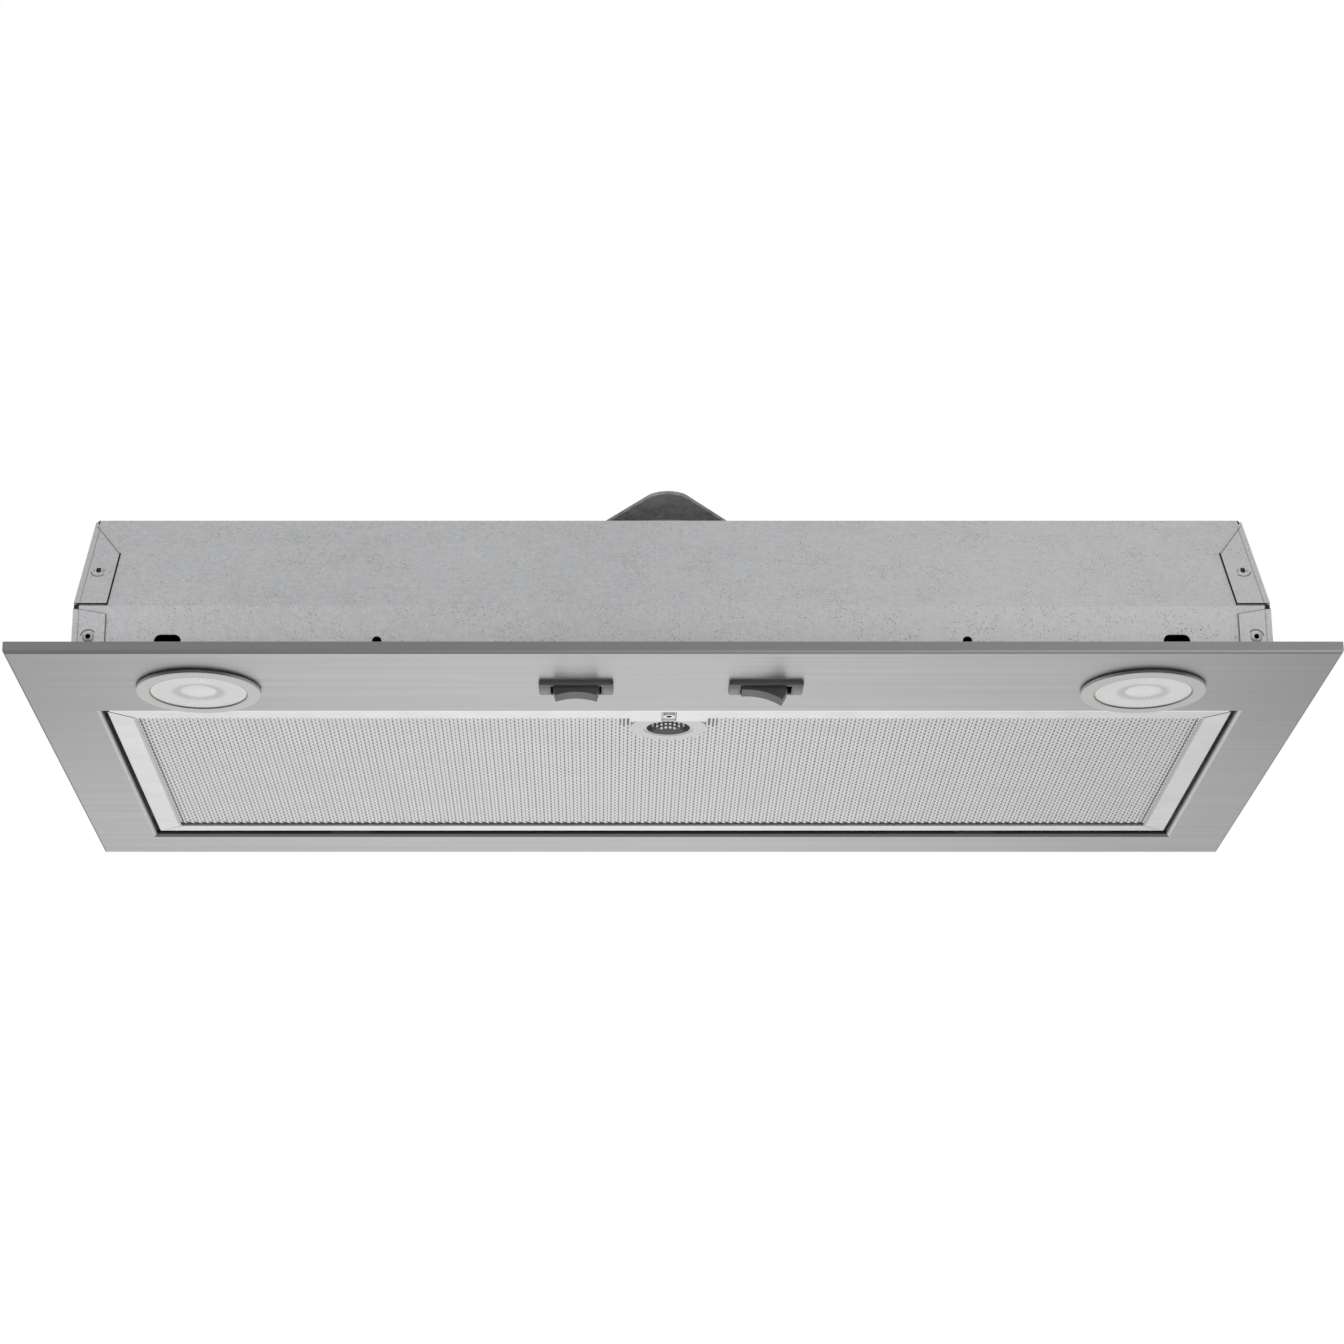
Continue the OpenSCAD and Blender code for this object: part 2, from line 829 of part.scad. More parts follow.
module blower_wheel() {
  color(alu_c) translate([0, axis_y, 0]) difference() {
    union() {
      translate([0, 0, wheel_z0]) linear_extrude(wheel_z1 - wheel_z0)
        for (i = [0 : blade_n - 1]) rotate(i * 360 / blade_n)
          sheet_section(blade_line(), blade_t);
      rotate_extrude($fn = 96) union() {
        translate([wheel_r - wheel_rim_w, wheel_z0]) square([wheel_rim_w, wheel_rim_t]);
        polygon([
          [dish_top_r, wheel_z1 - dish_t],
          [wheel_r, wheel_z1 - dish_t],
          [wheel_r, wheel_z1],
          [dish_top_r - dish_t, wheel_z1],
          [dish_bottom_r - dish_t, dish_z + dish_t],
          [0, dish_z + dish_t],
          [0, dish_z],
          [dish_bottom_r, dish_z]
        ]);
        translate([0, dish_z - hub_h / 2]) square([hub_r, hub_h]);
      }
    }
    translate([0, 0, dish_z - hub_h]) cylinder(h = 2 * hub_h, r = shaft_r);
  }
}

// Motor, shaft, bracket and their fasteners

module motor_shaft() {
  z0 = dish_z - hub_h / 2;
  z1 = bracket_z - motor_end_t - seat_gap;
  color(steel_c) translate([0, axis_y, z0]) cylinder(h = z1 - z0, r = shaft_r);
}

module motor_housing() {
  h = bracket_z - motor_z0;
  color(zinc_c) translate([0, axis_y, motor_z0]) difference() {
    union() {
      rotate_extrude($fn = 96) polygon([
        [0, 0],
        [motor_nose_share * motor_d / 2, 0],
        [motor_r, motor_nose_l],
        [motor_r, h],
        [0, h]
      ]);
      translate([0, 0, (h - motor_band_h) / 2])
        cylinder(h = motor_band_h, r = motor_r + motor_band_out);
    }
    translate([0, 0, -eps]) cylinder(h = h - motor_end_t + eps, r = bearing_r);
    for (i = [0 : vent_n - 1]) rotate([0, 0, i * 360 / vent_n])
      translate([motor_r - vent_l / 2, -vent_w / 2, vent_up])
        cube([vent_l, vent_w, vent_w]);
    for (i = [0 : 2]) rotate([0, 0, 90 + i * 120])
      translate([motor_screw_r, 0, h - motor_tap_deep])
        cylinder(h = motor_tap_deep + eps, r = screw_r);
  }
}

module motor_bearings() {
  h = bracket_z - motor_z0;
  color("peru") translate([0, axis_y, motor_z0])
    for (z = [0, h - motor_end_t - bearing_h]) translate([0, 0, z]) difference() {
      cylinder(h = bearing_h, r = bearing_r);
      translate([0, 0, -eps]) cylinder(h = bearing_h + 2 * eps, r = shaft_r + run_gap);
    }
}

// Corner centres of the triangular bracket, front one first
bracket_corners = [
  [0, axis_y - bracket_front],
  [bracket_half_w, axis_y + bracket_rear],
  [-bracket_half_w, axis_y + bracket_rear]
];

// The triangle with its corners rounded, each arc running between two tangent points
module bracket_outline() {
  c = bracket_corners;
  polygon([
    for (i = [0 : 2])
      let (
        before = c[i] - c[(i + 2) % 3],
        after = c[(i + 1) % 3] - c[i],
        a0 = atan2(before.y, before.x) - 90,
        turn = (atan2(after.y, after.x) - 90 - a0 + 720) % 360
      )
        for (k = [0 : corner_steps])
          let (a = a0 + k * turn / corner_steps) c[i] + bracket_corner_r * [cos(a), sin(a)]
  ]);
}

// Frame of a leg: origin on the bracket's edge, X along the edge, Y outwards
function side_dir(s) = s * (bracket_corners[s > 0 ? 1 : 2] - bracket_corners[0]);
function leg_base(s) =
  bracket_corners[0]
  + leg_share * (bracket_corners[s > 0 ? 1 : 2] - bracket_corners[0])
  - bracket_corner_r * left_of(side_dir(s));

leg_frames = [
  for (s = [-1, 1]) [leg_base(s), atan2(side_dir(s).y, side_dir(s).x) + 180],
  [[0, axis_y + bracket_rear + bracket_corner_r], 0]
];

// Screw positions in the feet of the three legs
foot_points = [
  for (f = leg_frames) f[0] + (foot_l / 2 + bracket_t / 2) * [-sin(f[1]), cos(f[1])]
];

module motor_bracket() {
  color(zinc_c) difference() {
    union() {
      translate([0, 0, bracket_z]) linear_extrude(bracket_t) bracket_outline();
      for (f = leg_frames) translate([f[0].x, f[0].y, body_h]) rotate([0, 0, f[1]]) {
        block([-leg_w / 2, -bracket_t - eps, 0], [leg_w / 2, -eps, bracket_h + bracket_t / 2]);
        block([-leg_w / 2, -bracket_t - eps, 0], [leg_w / 2, foot_l, bracket_t]);
      }
    }
    for (i = [0 : 2]) translate([0, axis_y, bracket_z - eps]) rotate([0, 0, 90 + i * 120])
      translate([motor_screw_r, 0, 0]) cylinder(h = bracket_t + 2 * eps, r = grommet_waist_r);
    for (p = foot_points) translate([p.x, p.y, body_h - eps])
      cylinder(h = bracket_t + 2 * eps, r = screw_r);
  }
}

// Rubber grommets between the motor screws and the bracket
module motor_grommets() {
  color(black_c) for (i = [0 : 2]) translate([0, axis_y, bracket_z]) rotate([0, 0, 90 + i * 120])
    translate([motor_screw_r, 0, 0]) difference() {
      union() {
        cylinder(h = bracket_t, r = grommet_waist_r);
        translate([0, 0, bracket_t]) cylinder(h = grommet_lip, r = grommet_r);
      }
      translate([0, 0, -eps])
        cylinder(h = bracket_t + grommet_lip + 2 * eps, r = grommet_bore_r);
    }
}

module motor_screws() {
  color(steel_c) for (i = [0 : 2]) translate([0, axis_y, bracket_z + bracket_t + grommet_lip])
    rotate([0, 0, 90 + i * 120]) translate([motor_screw_r, 0, 0])
      pan_screw(screw_head_r, screw_head_h, screw_r, bracket_t + grommet_lip + motor_tap_deep);
}

module bracket_screws() {
  color(steel_c) for (p = foot_points) translate([p.x, p.y, body_h + bracket_t])
    pan_screw(screw_head_r, screw_head_h, screw_r, bracket_t + body_t + screw_past);
}

// Capacitor and its clip

module capacitor() {
  z = inlet_z + inlet_t + cap_r;
  color(black_c) translate([cap_x, cap_y0, z]) rotate([-90, 0, 0]) union() {
    cylinder(h = cap_l, r = cap_r);
    for (s = [-1, 1]) translate([s * cap_r / 2 - spade_w / 2, -spade_t / 2, cap_l])
      cube([spade_w, spade_t, spade_l]);
  }
}

module capacitor_clip() {
  r = cap_r + seat_gap;
  line = concat(
    [[-r - clip_foot, 0], [-r, 0]],
    [
      for (i = [0 : clip_steps])
        let (a = 180 - i * 180 / clip_steps) [r * cos(a), cap_r + r * sin(a)]
    ],
    [[r, 0], [r + clip_foot, 0]]
  );
  color(zinc_c) translate([cap_x, cap_y0 + (cap_l - clip_w) / 2, inlet_z + inlet_t])
    along_y(0, clip_w) sheet_section(line, clip_t);
}

// Duct collar with its back-draught flap

module duct_collar() {
  z1 = body_h + collar_h;
  bead_z = z1 - bead_drop;
  color(zinc_c) difference() {
    union() {
      block(
        [-collar_w / 2 - collar_flange, collar_y0 - collar_flange, body_h],
        [collar_w / 2 + collar_flange, rear_y, body_h + collar_t]
      );
      block([-collar_w / 2, collar_y0, body_h], [collar_w / 2, collar_y1, z1]);
      block(
        [-collar_w / 2 - bead_out, collar_y0 - bead_out, bead_z],
        [collar_w / 2 + bead_out, collar_y1 + bead_out, bead_z + bead_h]
      );
    }
    difference() {
      block(
        [-collar_w / 2 + collar_t, collar_y0 + collar_t, body_h - eps],
        [collar_w / 2 - collar_t, collar_y1 - collar_t, z1 + eps]
      );
      for (s = [-1, 1]) translate([s * collar_w / 4, collar_y0, rod_z - flap_t / 2 - stop_gap])
        block([-stop_w / 2, 0, -collar_t], [stop_w / 2, collar_t + stop_reach, 0]);
    }
    translate([0, rod_y, rod_z]) rotate([0, 90, 0])
      cylinder(h = collar_w + 4 * bead_out, r = rod_r + run_gap, center = true);
  }
}

module damper_flap() {
  flap_w = collar_w - 2 * (collar_t + flap_gap);
  pitch = (flap_w - knuckle_l) / (knuckle_n - 1);
  color(alu_c) difference() {
    union() {
      block(
        [-flap_w / 2, collar_y0 + collar_t + flap_gap, rod_z - flap_t / 2],
        [flap_w / 2, rod_y, rod_z + flap_t / 2]
      );
      for (i = [0 : knuckle_n - 1])
        translate([-flap_w / 2 + i * pitch, rod_y, rod_z]) {
          rotate([0, 90, 0]) cylinder(h = knuckle_l, r = knuckle_r);
          block(
            [(knuckle_l - lug_w) / 2, -flap_t / 2, 0],
            [(knuckle_l + lug_w) / 2, flap_t / 2, lug_l]
          );
        }
    }
    translate([0, rod_y, rod_z]) rotate([0, 90, 0])
      cylinder(h = collar_w, r = rod_r, center = true);
  }
}

module damper_rod() {
  color(steel_c) translate([0, rod_y, rod_z]) rotate([0, 90, 0])
    cylinder(h = collar_w + 2 * rod_out, r = rod_r, center = true);
}

// Wiring box on top of the body

module wiring_box() {
  low = [box_x0, box_y0, body_h];
  high = low + [box_w, box_d, box_h];
  color(zinc_c) difference() {
    union() {
      difference() {
        block(low, high);
        block(low + [box_t, box_t, box_t], high + [-box_t, -box_t, eps]);
      }
      for (x = [low.x + box_screw_in, high.x - box_screw_in]) for (y = [low.y, high.y - box_ear])
        block([x - box_ear / 2, y, high.z - box_t], [x + box_ear / 2, y + box_ear, high.z]);
    }
    translate([low.x + box_w / 2, high.y - box_t - eps, entry_z]) rotate([-90, 0, 0])
      cylinder(h = box_t + 2 * eps, r = entry_r);
    translate([low.x + box_w / 2, low.y + box_d / 2, body_h - eps])
      cylinder(h = box_t + 2 * eps, r = grommet_hole_r);
    cover_screw_places() translate([0, 0, -2 * box_t - eps]) cylinder(h = 4 * box_t, r = screw_r);
  }
}

// The four screws of the cover, on the box's ears
module cover_screw_places() {
  for (x = [box_x0 + box_screw_in, box_x0 + box_w - box_screw_in])
    for (y = [box_y0 + box_ear / 2 + box_t / 2, box_y0 + box_d - box_ear / 2 - box_t / 2])
      translate([x, y, body_h + box_h + box_t]) children();
}

module wiring_cover() {
  low = [box_x0 - box_t, box_y0 - box_t, body_h + box_h - cover_lip];
  high = [box_x0 + box_w + box_t, box_y0 + box_d + box_t, body_h + box_h + box_t];
  color(zinc_c) difference() {
    block(low, high);
    block(
      [box_x0, box_y0, low.z - eps],
      [box_x0 + box_w, box_y0 + box_d, body_h + box_h]
    );
    cover_screw_places() translate([0, 0, -box_t - eps]) cylinder(h = box_t + 2 * eps, r = screw_r);
  }
}

module cover_screws() {
  color(steel_c) cover_screw_places()
    pan_screw(screw_head_r, screw_head_h, screw_r, 2 * box_t + screw_past);
}

module terminal_block() {
  x0 = box_x0 + box_screw_in;
  y0 = box_y0 + box_screw_in;
  pitch = block_l / block_poles;
  color(white_c) translate([x0, y0, body_h + box_t]) difference() {
    union() {
      cube([block_l, block_w, block_h - barrier_h]);
      for (i = [0 : block_poles])
        translate([min(i * pitch, block_l - barrier_t), 0, 0]) cube([barrier_t, block_w, block_h]);
    }
    for (i = [0 : block_poles - 1])
      translate([(2 * i + 1) * pitch / 2, block_w / 2, block_h - barrier_h - pole_deep])
        cylinder(h = pole_deep + eps, r = pole_r);
  }
}

module ground_screw() {
  color("seagreen") translate([box_x0 + box_w - box_screw_in, box_y0 + box_d / 2, body_h + box_t])
    pan_screw(screw_head_r, screw_head_h, screw_r, 0);
}

// Grommet that guards the leads where they pass into the body
module wire_grommet() {
  lip = wire_grommet_lip;
  wall = wire_grommet_wall;
  through = body_t + box_t;
  color(black_c) translate([box_x0 + box_w / 2, box_y0 + box_d / 2, body_h - body_t])
    difference() {
      union() {
        cylinder(h = through, r = grommet_hole_r);
        translate([0, 0, through]) cylinder(h = lip, r = grommet_hole_r + wall);
        translate([0, 0, -lip]) cylinder(h = lip, r = grommet_hole_r + wall);
      }
      translate([0, 0, -lip - eps])
        cylinder(h = through + 2 * (lip + eps), r = grommet_hole_r - wall);
    }
}

// Grease filter

module filter_frame() {
  low = [-filter_w / 2, filter_y0, filter_z0];
  cy = filter_y0 + filter_d / 2;
  color(alu_c) difference() {
    translate([0, cy, filter_z0]) soft_block(filter_w, filter_d, filter_h, rail_edge_r);
    block(
      [low.x + rail_t, filter_y0 + rail_t, filter_z0 + rail_t],
      [-low.x - rail_t, filter_y1 - rail_t, filter_z1 - rail_t]
    );
    difference() {
      block(
        [low.x + side_rail_w, filter_y0 + front_rail_w, filter_z0 - eps],
        [-low.x - side_rail_w, filter_y1 - rear_rail_w, filter_z0 + rail_t + eps]
      );
      block(
        [-cup_flange_r, filter_y0, filter_z0 - 2 * eps],
        [cup_flange_r, filter_y0 + rail_w, filter_z0 + rail_t + 2 * eps]
      );
    }
    block(
      [low.x + rail_top_w, filter_y0 + rail_top_w, filter_z1 - rail_t - eps],
      [-low.x - rail_top_w, filter_y1 - rail_top_w, filter_z1 + eps]
    );
    for (s = [-1, 1], t = [-1, 1]) {
      band = t > 0 ? rear_rail_w : front_rail_w;
      inner_x = filter_w / 2 - side_rail_w;
      translate([s * inner_x, cy + t * (filter_d / 2 - band), filter_z0 - eps])
        rotate([0, 0, atan2(t * band, s * side_rail_w)]) translate([-eps, -mitre_w / 2, 0])
          cube([norm([side_rail_w, band]) * mitre_share, mitre_w, rail_t + 2 * eps]);
    }
    block(
      [-window_w / 2, window_y0, filter_z0 - eps],
      [window_w / 2, window_y1, filter_z0 + rail_t + eps]
    );
    block(
      [-latch_notch_w / 2, filter_y0 - eps, bolt_z0 - skim_gap],
      [latch_notch_w / 2, filter_y0 + rail_t + eps, bolt_z0 + 2 * bolt_t]
    );
  }
}

// Room left in every layer of the pad for the latch and the finger recess
module pad_cuts() {
  block(
    [-guide_w / 2 - pad_gap, filter_y0, filter_z0],
    [guide_w / 2 + pad_gap, filter_y0 + rail_w + pad_gap, filter_z1]
  );
  block(
    [-bolt_w / 2 - pad_gap, filter_y0 + rail_w, filter_z0],
    [bolt_w / 2 + pad_gap, cup_y, filter_z1]
  );
  translate([0, cup_y, filter_z0]) cylinder(h = filter_h, r = cup_r + cup_t + pad_gap);
}

// One flat layer of the pad, its underside at z
module mesh_sheet(z) {
  difference() {
    block(
      [-filter_w / 2 + rail_t + pad_gap, filter_y0 + rail_t + pad_gap, z],
      [filter_w / 2 - rail_t - pad_gap, filter_y1 - rail_t - pad_gap, z + mesh_t]
    );
    pad_cuts();
  }
}

module filter_mesh() {
  color(alu_c) mesh_sheet(filter_z0 + rail_t);
}

module filter_back_mesh() {
  color(alu_c) mesh_sheet(filter_z1 - rail_t - mesh_t);
}

// Corrugated layers between the two flat ones, their folds running across
module filter_core() {
  z0 = filter_z0 + rail_t + mesh_t;
  z1 = filter_z1 - rail_t - mesh_t;
  room = filter_d - 2 * (rail_t + pad_gap);
  waves = floor(room / core_pitch);
  pitch = room / waves;
  flat = core_flat_share * pitch;
  lean = pitch / 2 - flat;
  line = [
    for (i = [0 : waves - 1])
      let (y = filter_y0 + rail_t + pad_gap + i * pitch)
        each [[y, z0], [y + flat, z0], [y + flat + lean, z1 - core_t], [y + pitch - lean, z1 - core_t]]
  ];
  color(alu_c) difference() {
    along_x(filter_w - 2 * (rail_t + pad_gap)) sheet_section(line, core_t);
    pad_cuts();
  }
}

// Round finger recess pressed in a steel disc, cut straight along the front rail
module finger_cup() {
  z1 = filter_z0 + rail_t;
  rail_edge = filter_y0 + rail_w;
  centre_z = z1 - cup_t + cup_deep - cup_sphere_r;
  color(alu_c) difference() {
    translate([0, cup_y, 0]) rotate_extrude($fn = 96) union() {
      translate([cup_r, z1 - cup_t]) square([cup_flange_r - cup_r, cup_t]);
      difference() {
        intersection() {
          translate([0, centre_z]) circle(cup_sphere_r + cup_t);
          translate([0, z1 - cup_t]) square([cup_r + cup_t, cup_deep + 2 * cup_t]);
        }
        translate([0, centre_z]) circle(cup_sphere_r);
        translate([-cup_sphere_r, z1 - cup_t - eps]) square([cup_sphere_r, 2 * cup_sphere_r]);
      }
    }
    block(
      [-cup_flange_r, rail_edge - cup_flange_r, z1 - cup_t - eps],
      [cup_flange_r, rail_edge + skim_gap, z1 + 2 * cup_deep]
    );
    block(
      [-bolt_w / 2 - seat_gap, rail_edge, bolt_z0 - seat_gap],
      [bolt_w / 2 + seat_gap, rail_edge + bolt_rear + latch_travel + skim_gap, z1 + 2 * cup_deep]
    );
  }
}

// Clips on the filter's rear web that hook over the flange of the opening
module filter_hinge_tabs() {
  z0 = opening_rim_h + tab_hinge_rise;
  line = [
    [filter_y1, z0 + tab_hinge_t - tab_hinge_leg],
    [filter_y1, z0 + tab_hinge_t],
    [opening_y1 + plate_t / 2 + tab_hinge_past, z0 + tab_hinge_t]
  ];
  color(zinc_c) for (s = [-1, 1]) translate([s * tab_hinge_x, 0, 0])
    along_x(tab_hinge_w) sheet_section(line, -tab_hinge_t);
}

// Latch of the filter

module latch_guide() {
  z0 = filter_z0 + rail_t;
  color(zinc_c) difference() {
    block([-guide_w / 2, guide_y0, z0], [guide_w / 2, guide_y1, z0 + guide_h]);
    block(
      [-window_w / 2, guide_y0 - eps, z0 - eps],
      [window_w / 2, guide_y1 + eps, bolt_z0 + bolt_t + skim_gap]
    );
    block(
      [-window_w / 2, guide_y0 + guide_t, z0],
      [window_w / 2, guide_y1 - guide_t, z0 + guide_h - guide_t]
    );
  }
}

module latch_bolt() {
  nose_y = opening_y0 - bolt_reach;
  tail_y = filter_y0 + rail_w + bolt_rear;
  tab_y = guide_y0 + guide_t + slide_gap;
  color(steel_c) difference() {
    union() {
      block([-bolt_w / 2, nose_y, bolt_z0], [bolt_w / 2, tail_y, bolt_z0 + bolt_t]);
      block(
        [-bolt_w / 2, tab_y, bolt_z0],
        [bolt_w / 2, tab_y + bolt_t, bolt_z0 + bolt_t + bolt_tab_rise]
      );
      block(
        [-bolt_w / 2, tail_y - bolt_t, bolt_z0],
        [bolt_w / 2, tail_y, bolt_z0 + bolt_t + bolt_tail_rise]
      );
      translate([0, eyelet_y, filter_z0 - eyelet_drop])
        cylinder(h = bolt_z0 - filter_z0 + eyelet_drop + bolt_t / 2, r = eyelet_r);
    }
    translate([0, eyelet_y, filter_z0 - eyelet_drop - eps])
      cylinder(h = bolt_z0 + 2 * bolt_t, r = eyelet_bore_r);
  }
}

// Flat serpentine spring that pushes the bolt forward
module latch_spring() {
  y0 = guide_y0 + guide_t + slide_gap + bolt_t + skim_gap;
  y1 = guide_y1 - guide_t - skim_gap;
  step = (y1 - y0 - spring_t) / (spring_waves * 2);
  half = (spring_w - spring_t) / 2;
  line = concat(
    [[-half, y0]],
    [
      for (i = [0 : spring_waves * 2 - 1])
        let (s = i % 2 == 0 ? 1 : -1)
          each [[s * half, y0 + i * step], [s * half, y0 + (i + 1) * step]]
    ]
  );
  color(steel_c) translate([0, 0, bolt_z0 + bolt_t + slide_gap])
    linear_extrude(spring_h) sheet_section(line, spring_t);
}

// Lamps

module lamp() {
  color([0.8, 0.8, 0.79]) difference() {
    union() {
      rotate_extrude($fn = 96) polygon([
        [0, -rim_drop],
        [lamp_rim_r - rim_edge, -rim_drop],
        [lamp_rim_r, -rim_drop + rim_edge],
        [lamp_rim_r, -seat_gap],
        [lamp_neck_r, -seat_gap],
        [lamp_neck_r, lamp_shoulder_z],
        [lamp_taper_r, lamp_taper_z],
        [lamp_base_r, lamp_taper_z],
        [lamp_base_r, lamp_base_z],
        [0, lamp_base_z]
      ]);
      for (s = [-1, 1]) translate([s * pin_at, 0, lamp_base_z - eps]) {
        cylinder(h = pin_l + eps, r = pin_r);
        translate([0, 0, pin_l + eps - pin_head_h]) cylinder(h = pin_head_h, r = pin_head_r);
      }
    }
    translate([0, 0, -rim_drop - eps]) cylinder(h = lens_deep + eps, r = lens_r + lens_gap);
    for (i = [0 : fin_n - 1]) rotate([0, 0, i * 360 / fin_n]) fin_slot();
  }
}

// The gap between two cooling fins, following the lamp's taper
module fin_slot() {
  slope = atan2(lamp_neck_r - lamp_taper_r, lamp_taper_z - lamp_shoulder_z);
  translate([lamp_neck_r - fin_deep, -fin_slot_w / 2, lamp_shoulder_z / 2])
    rotate([0, -slope, 0]) cube([2 * fin_deep, fin_slot_w, lamp_taper_z - lamp_shoulder_z]);
}

module lens() {
  z0 = -rim_drop + lens_inset;
  color(white_c) rotate_extrude($fn = 96) difference() {
    translate([0, z0]) square([lens_r, lens_deep - lens_inset]);
    translate([0, z0 - lens_r]) circle(lens_r + lens_dish);
  }
}

module left_lamp() { translate([-lamp_x, lamp_y, 0]) lamp(); }

module right_lamp() { translate([lamp_x, lamp_y, 0]) lamp(); }

module left_lens() { translate([-lamp_x, lamp_y, 0]) lens(); }

module right_lens() { translate([lamp_x, lamp_y, 0]) lens(); }

// Lampholder with two arc-shaped keyways for the lamp's pins
module lampholder() {
  color(cream_c) difference() {
    block(
      [-holder_l / 2, -holder_w / 2, holder_z0],
      [holder_l / 2, holder_w / 2, lamp_bracket_z]
    );
    for (a = [0, 180]) rotate([0, 0, a]) translate([0, 0, holder_z0 - eps])
      rotate_extrude(angle = lamp_twist + 2 * key_spare, start = -key_spare)
        translate([pin_at - pin_head_r - key_gap, 0])
          square([2 * (pin_head_r + key_gap), key_deep + eps]);
  }
}

module left_lampholder() { translate([-lamp_x, lamp_y, 0]) lampholder(); }

module right_lampholder() { translate([lamp_x, lamp_y, 0]) lampholder(); }

module lamp_bracket() {
  half = lamp_bracket_span / 2;
  line = [
    [-half - lamp_bracket_foot, plate_t],
    [-half, plate_t],
    [-half, lamp_bracket_z],
    [half, lamp_bracket_z],
    [half, plate_t],
    [half + lamp_bracket_foot, plate_t]
  ];
  color(zinc_c) along_y(-lamp_bracket_w / 2, lamp_bracket_w / 2)
    sheet_section(line, bracket_sheet_t);
}

module left_lamp_bracket() { translate([-lamp_x, lamp_y, 0]) lamp_bracket(); }

module right_lamp_bracket() { translate([lamp_x, lamp_y, 0]) lamp_bracket(); }

// Rocker switches

module switch_body(n) {
  color(dark_c) difference() {
    union() {
      translate([0, 0, -bezel_h]) intersection() {
        soft_block(bezel_l, bezel_w, bezel_h, bezel_r);
        translate([0, -bezel_w / 2, 0]) linear_extrude(bezel_h)
          round_ended(bezel_l, bezel_w, bezel_corner_r);
      }
      block([-switch_l / 2, -switch_w / 2, 0], [switch_l / 2, switch_w / 2, switch_top]);
    }
    block(
      [-cavity_l / 2, -cavity_w / 2, -bezel_h - eps],
      [cavity_l / 2, cavity_w / 2, cavity_z]
    );
    translate([0, 0, pivot_z]) rotate([90, 0, 0])
      cylinder(h = rocker_w + 2 * (rocker_pin_out + run_gap), r = rocker_pin_r + run_gap, center = true);
    for (i = [0 : n - 1]) translate([(i - (n - 1) / 2) * spade_pitch, 0, switch_top])
      block([-spade_w / 2, -spade_t / 2, -spade_l / 2], [spade_w / 2, spade_t / 2, eps]);
  }
}

// Outline of a rocker in X-Z about its pivot: a hollowed lower face between two raised ends
module rocker_outline() {
  polygon(concat(
    [
      for (i = [0 : saddle_steps])
        let (u = 2 * i / saddle_steps - 1)
          [u * rocker_half, -rocker_end + saddle_sag * (1 - u * u)]
    ],
    [
      [rocker_root, -rocker_root_z],
      [rocker_neck, rocker_top],
      [-rocker_neck, rocker_top],
      [-rocker_root, -rocker_root_z]
    ]
  ));
}

module rocker() {
  color(dark_c) {
    along_y(-rocker_w / 2, rocker_w / 2) rocker_outline();
    rotate([90, 0, 0]) cylinder(h = rocker_w + 2 * rocker_pin_out, r = rocker_pin_r, center = true);
  }
}

module fan_switch() { translate([-switch_x, switch_y, 0]) switch_body(3); }

module light_switch() { translate([switch_x, switch_y, 0]) switch_body(2); }

module fan_rocker() { translate([-switch_x, switch_y, pivot_z]) rocker(); }

module light_rocker() {
  translate([switch_x, switch_y, pivot_z]) rotate([0, rocker_tilt, 0]) rocker();
}

module switch_terminals() {
  color("goldenrod") for (p = [[-switch_x, 3], [switch_x, 2]]) for (i = [0 : p[1] - 1])
    translate([p[0] + (i - (p[1] - 1) / 2) * spade_pitch, switch_y, switch_top]) difference() {
      block([-spade_w / 2, -spade_t / 2, -spade_l / 2], [spade_w / 2, spade_t / 2, spade_l]);
      translate([0, 0, spade_hole_share * spade_l]) rotate([90, 0, 0])
        cylinder(h = 4 * spade_t, r = spade_hole_r, center = true);
    }
}

trim_plate();
body_shell();
left_side_panel();
right_side_panel();
body_rivets();
inlet_plate();
inlet_ring();
blower_scroll();
blower_wheel();
motor_shaft();
motor_housing();
motor_bearings();
motor_bracket();
motor_grommets();
motor_screws();
bracket_screws();
capacitor();
capacitor_clip();
duct_collar();
damper_flap();
damper_rod();
wiring_box();
wiring_cover();
cover_screws();
terminal_block();
ground_screw();
wire_grommet();
filter_frame();
filter_mesh();
filter_core();
filter_back_mesh();
finger_cup();
filter_hinge_tabs();
latch_guide();
latch_bolt();
latch_spring();
left_lamp();
right_lamp();
left_lens();
right_lens();
left_lampholder();
right_lampholder();
left_lamp_bracket();
right_lamp_bracket();
fan_switch();
light_switch();
fan_rocker();
light_rocker();
switch_terminals();
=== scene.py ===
"""Looks of a range hood insert seen from below: finishes, filter mesh, lamp lenses, light and camera.

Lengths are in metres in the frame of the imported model: X across, Y to the rear, Z up.
Greys and colours are linear, from 0 to 1.
"""

import json
import math

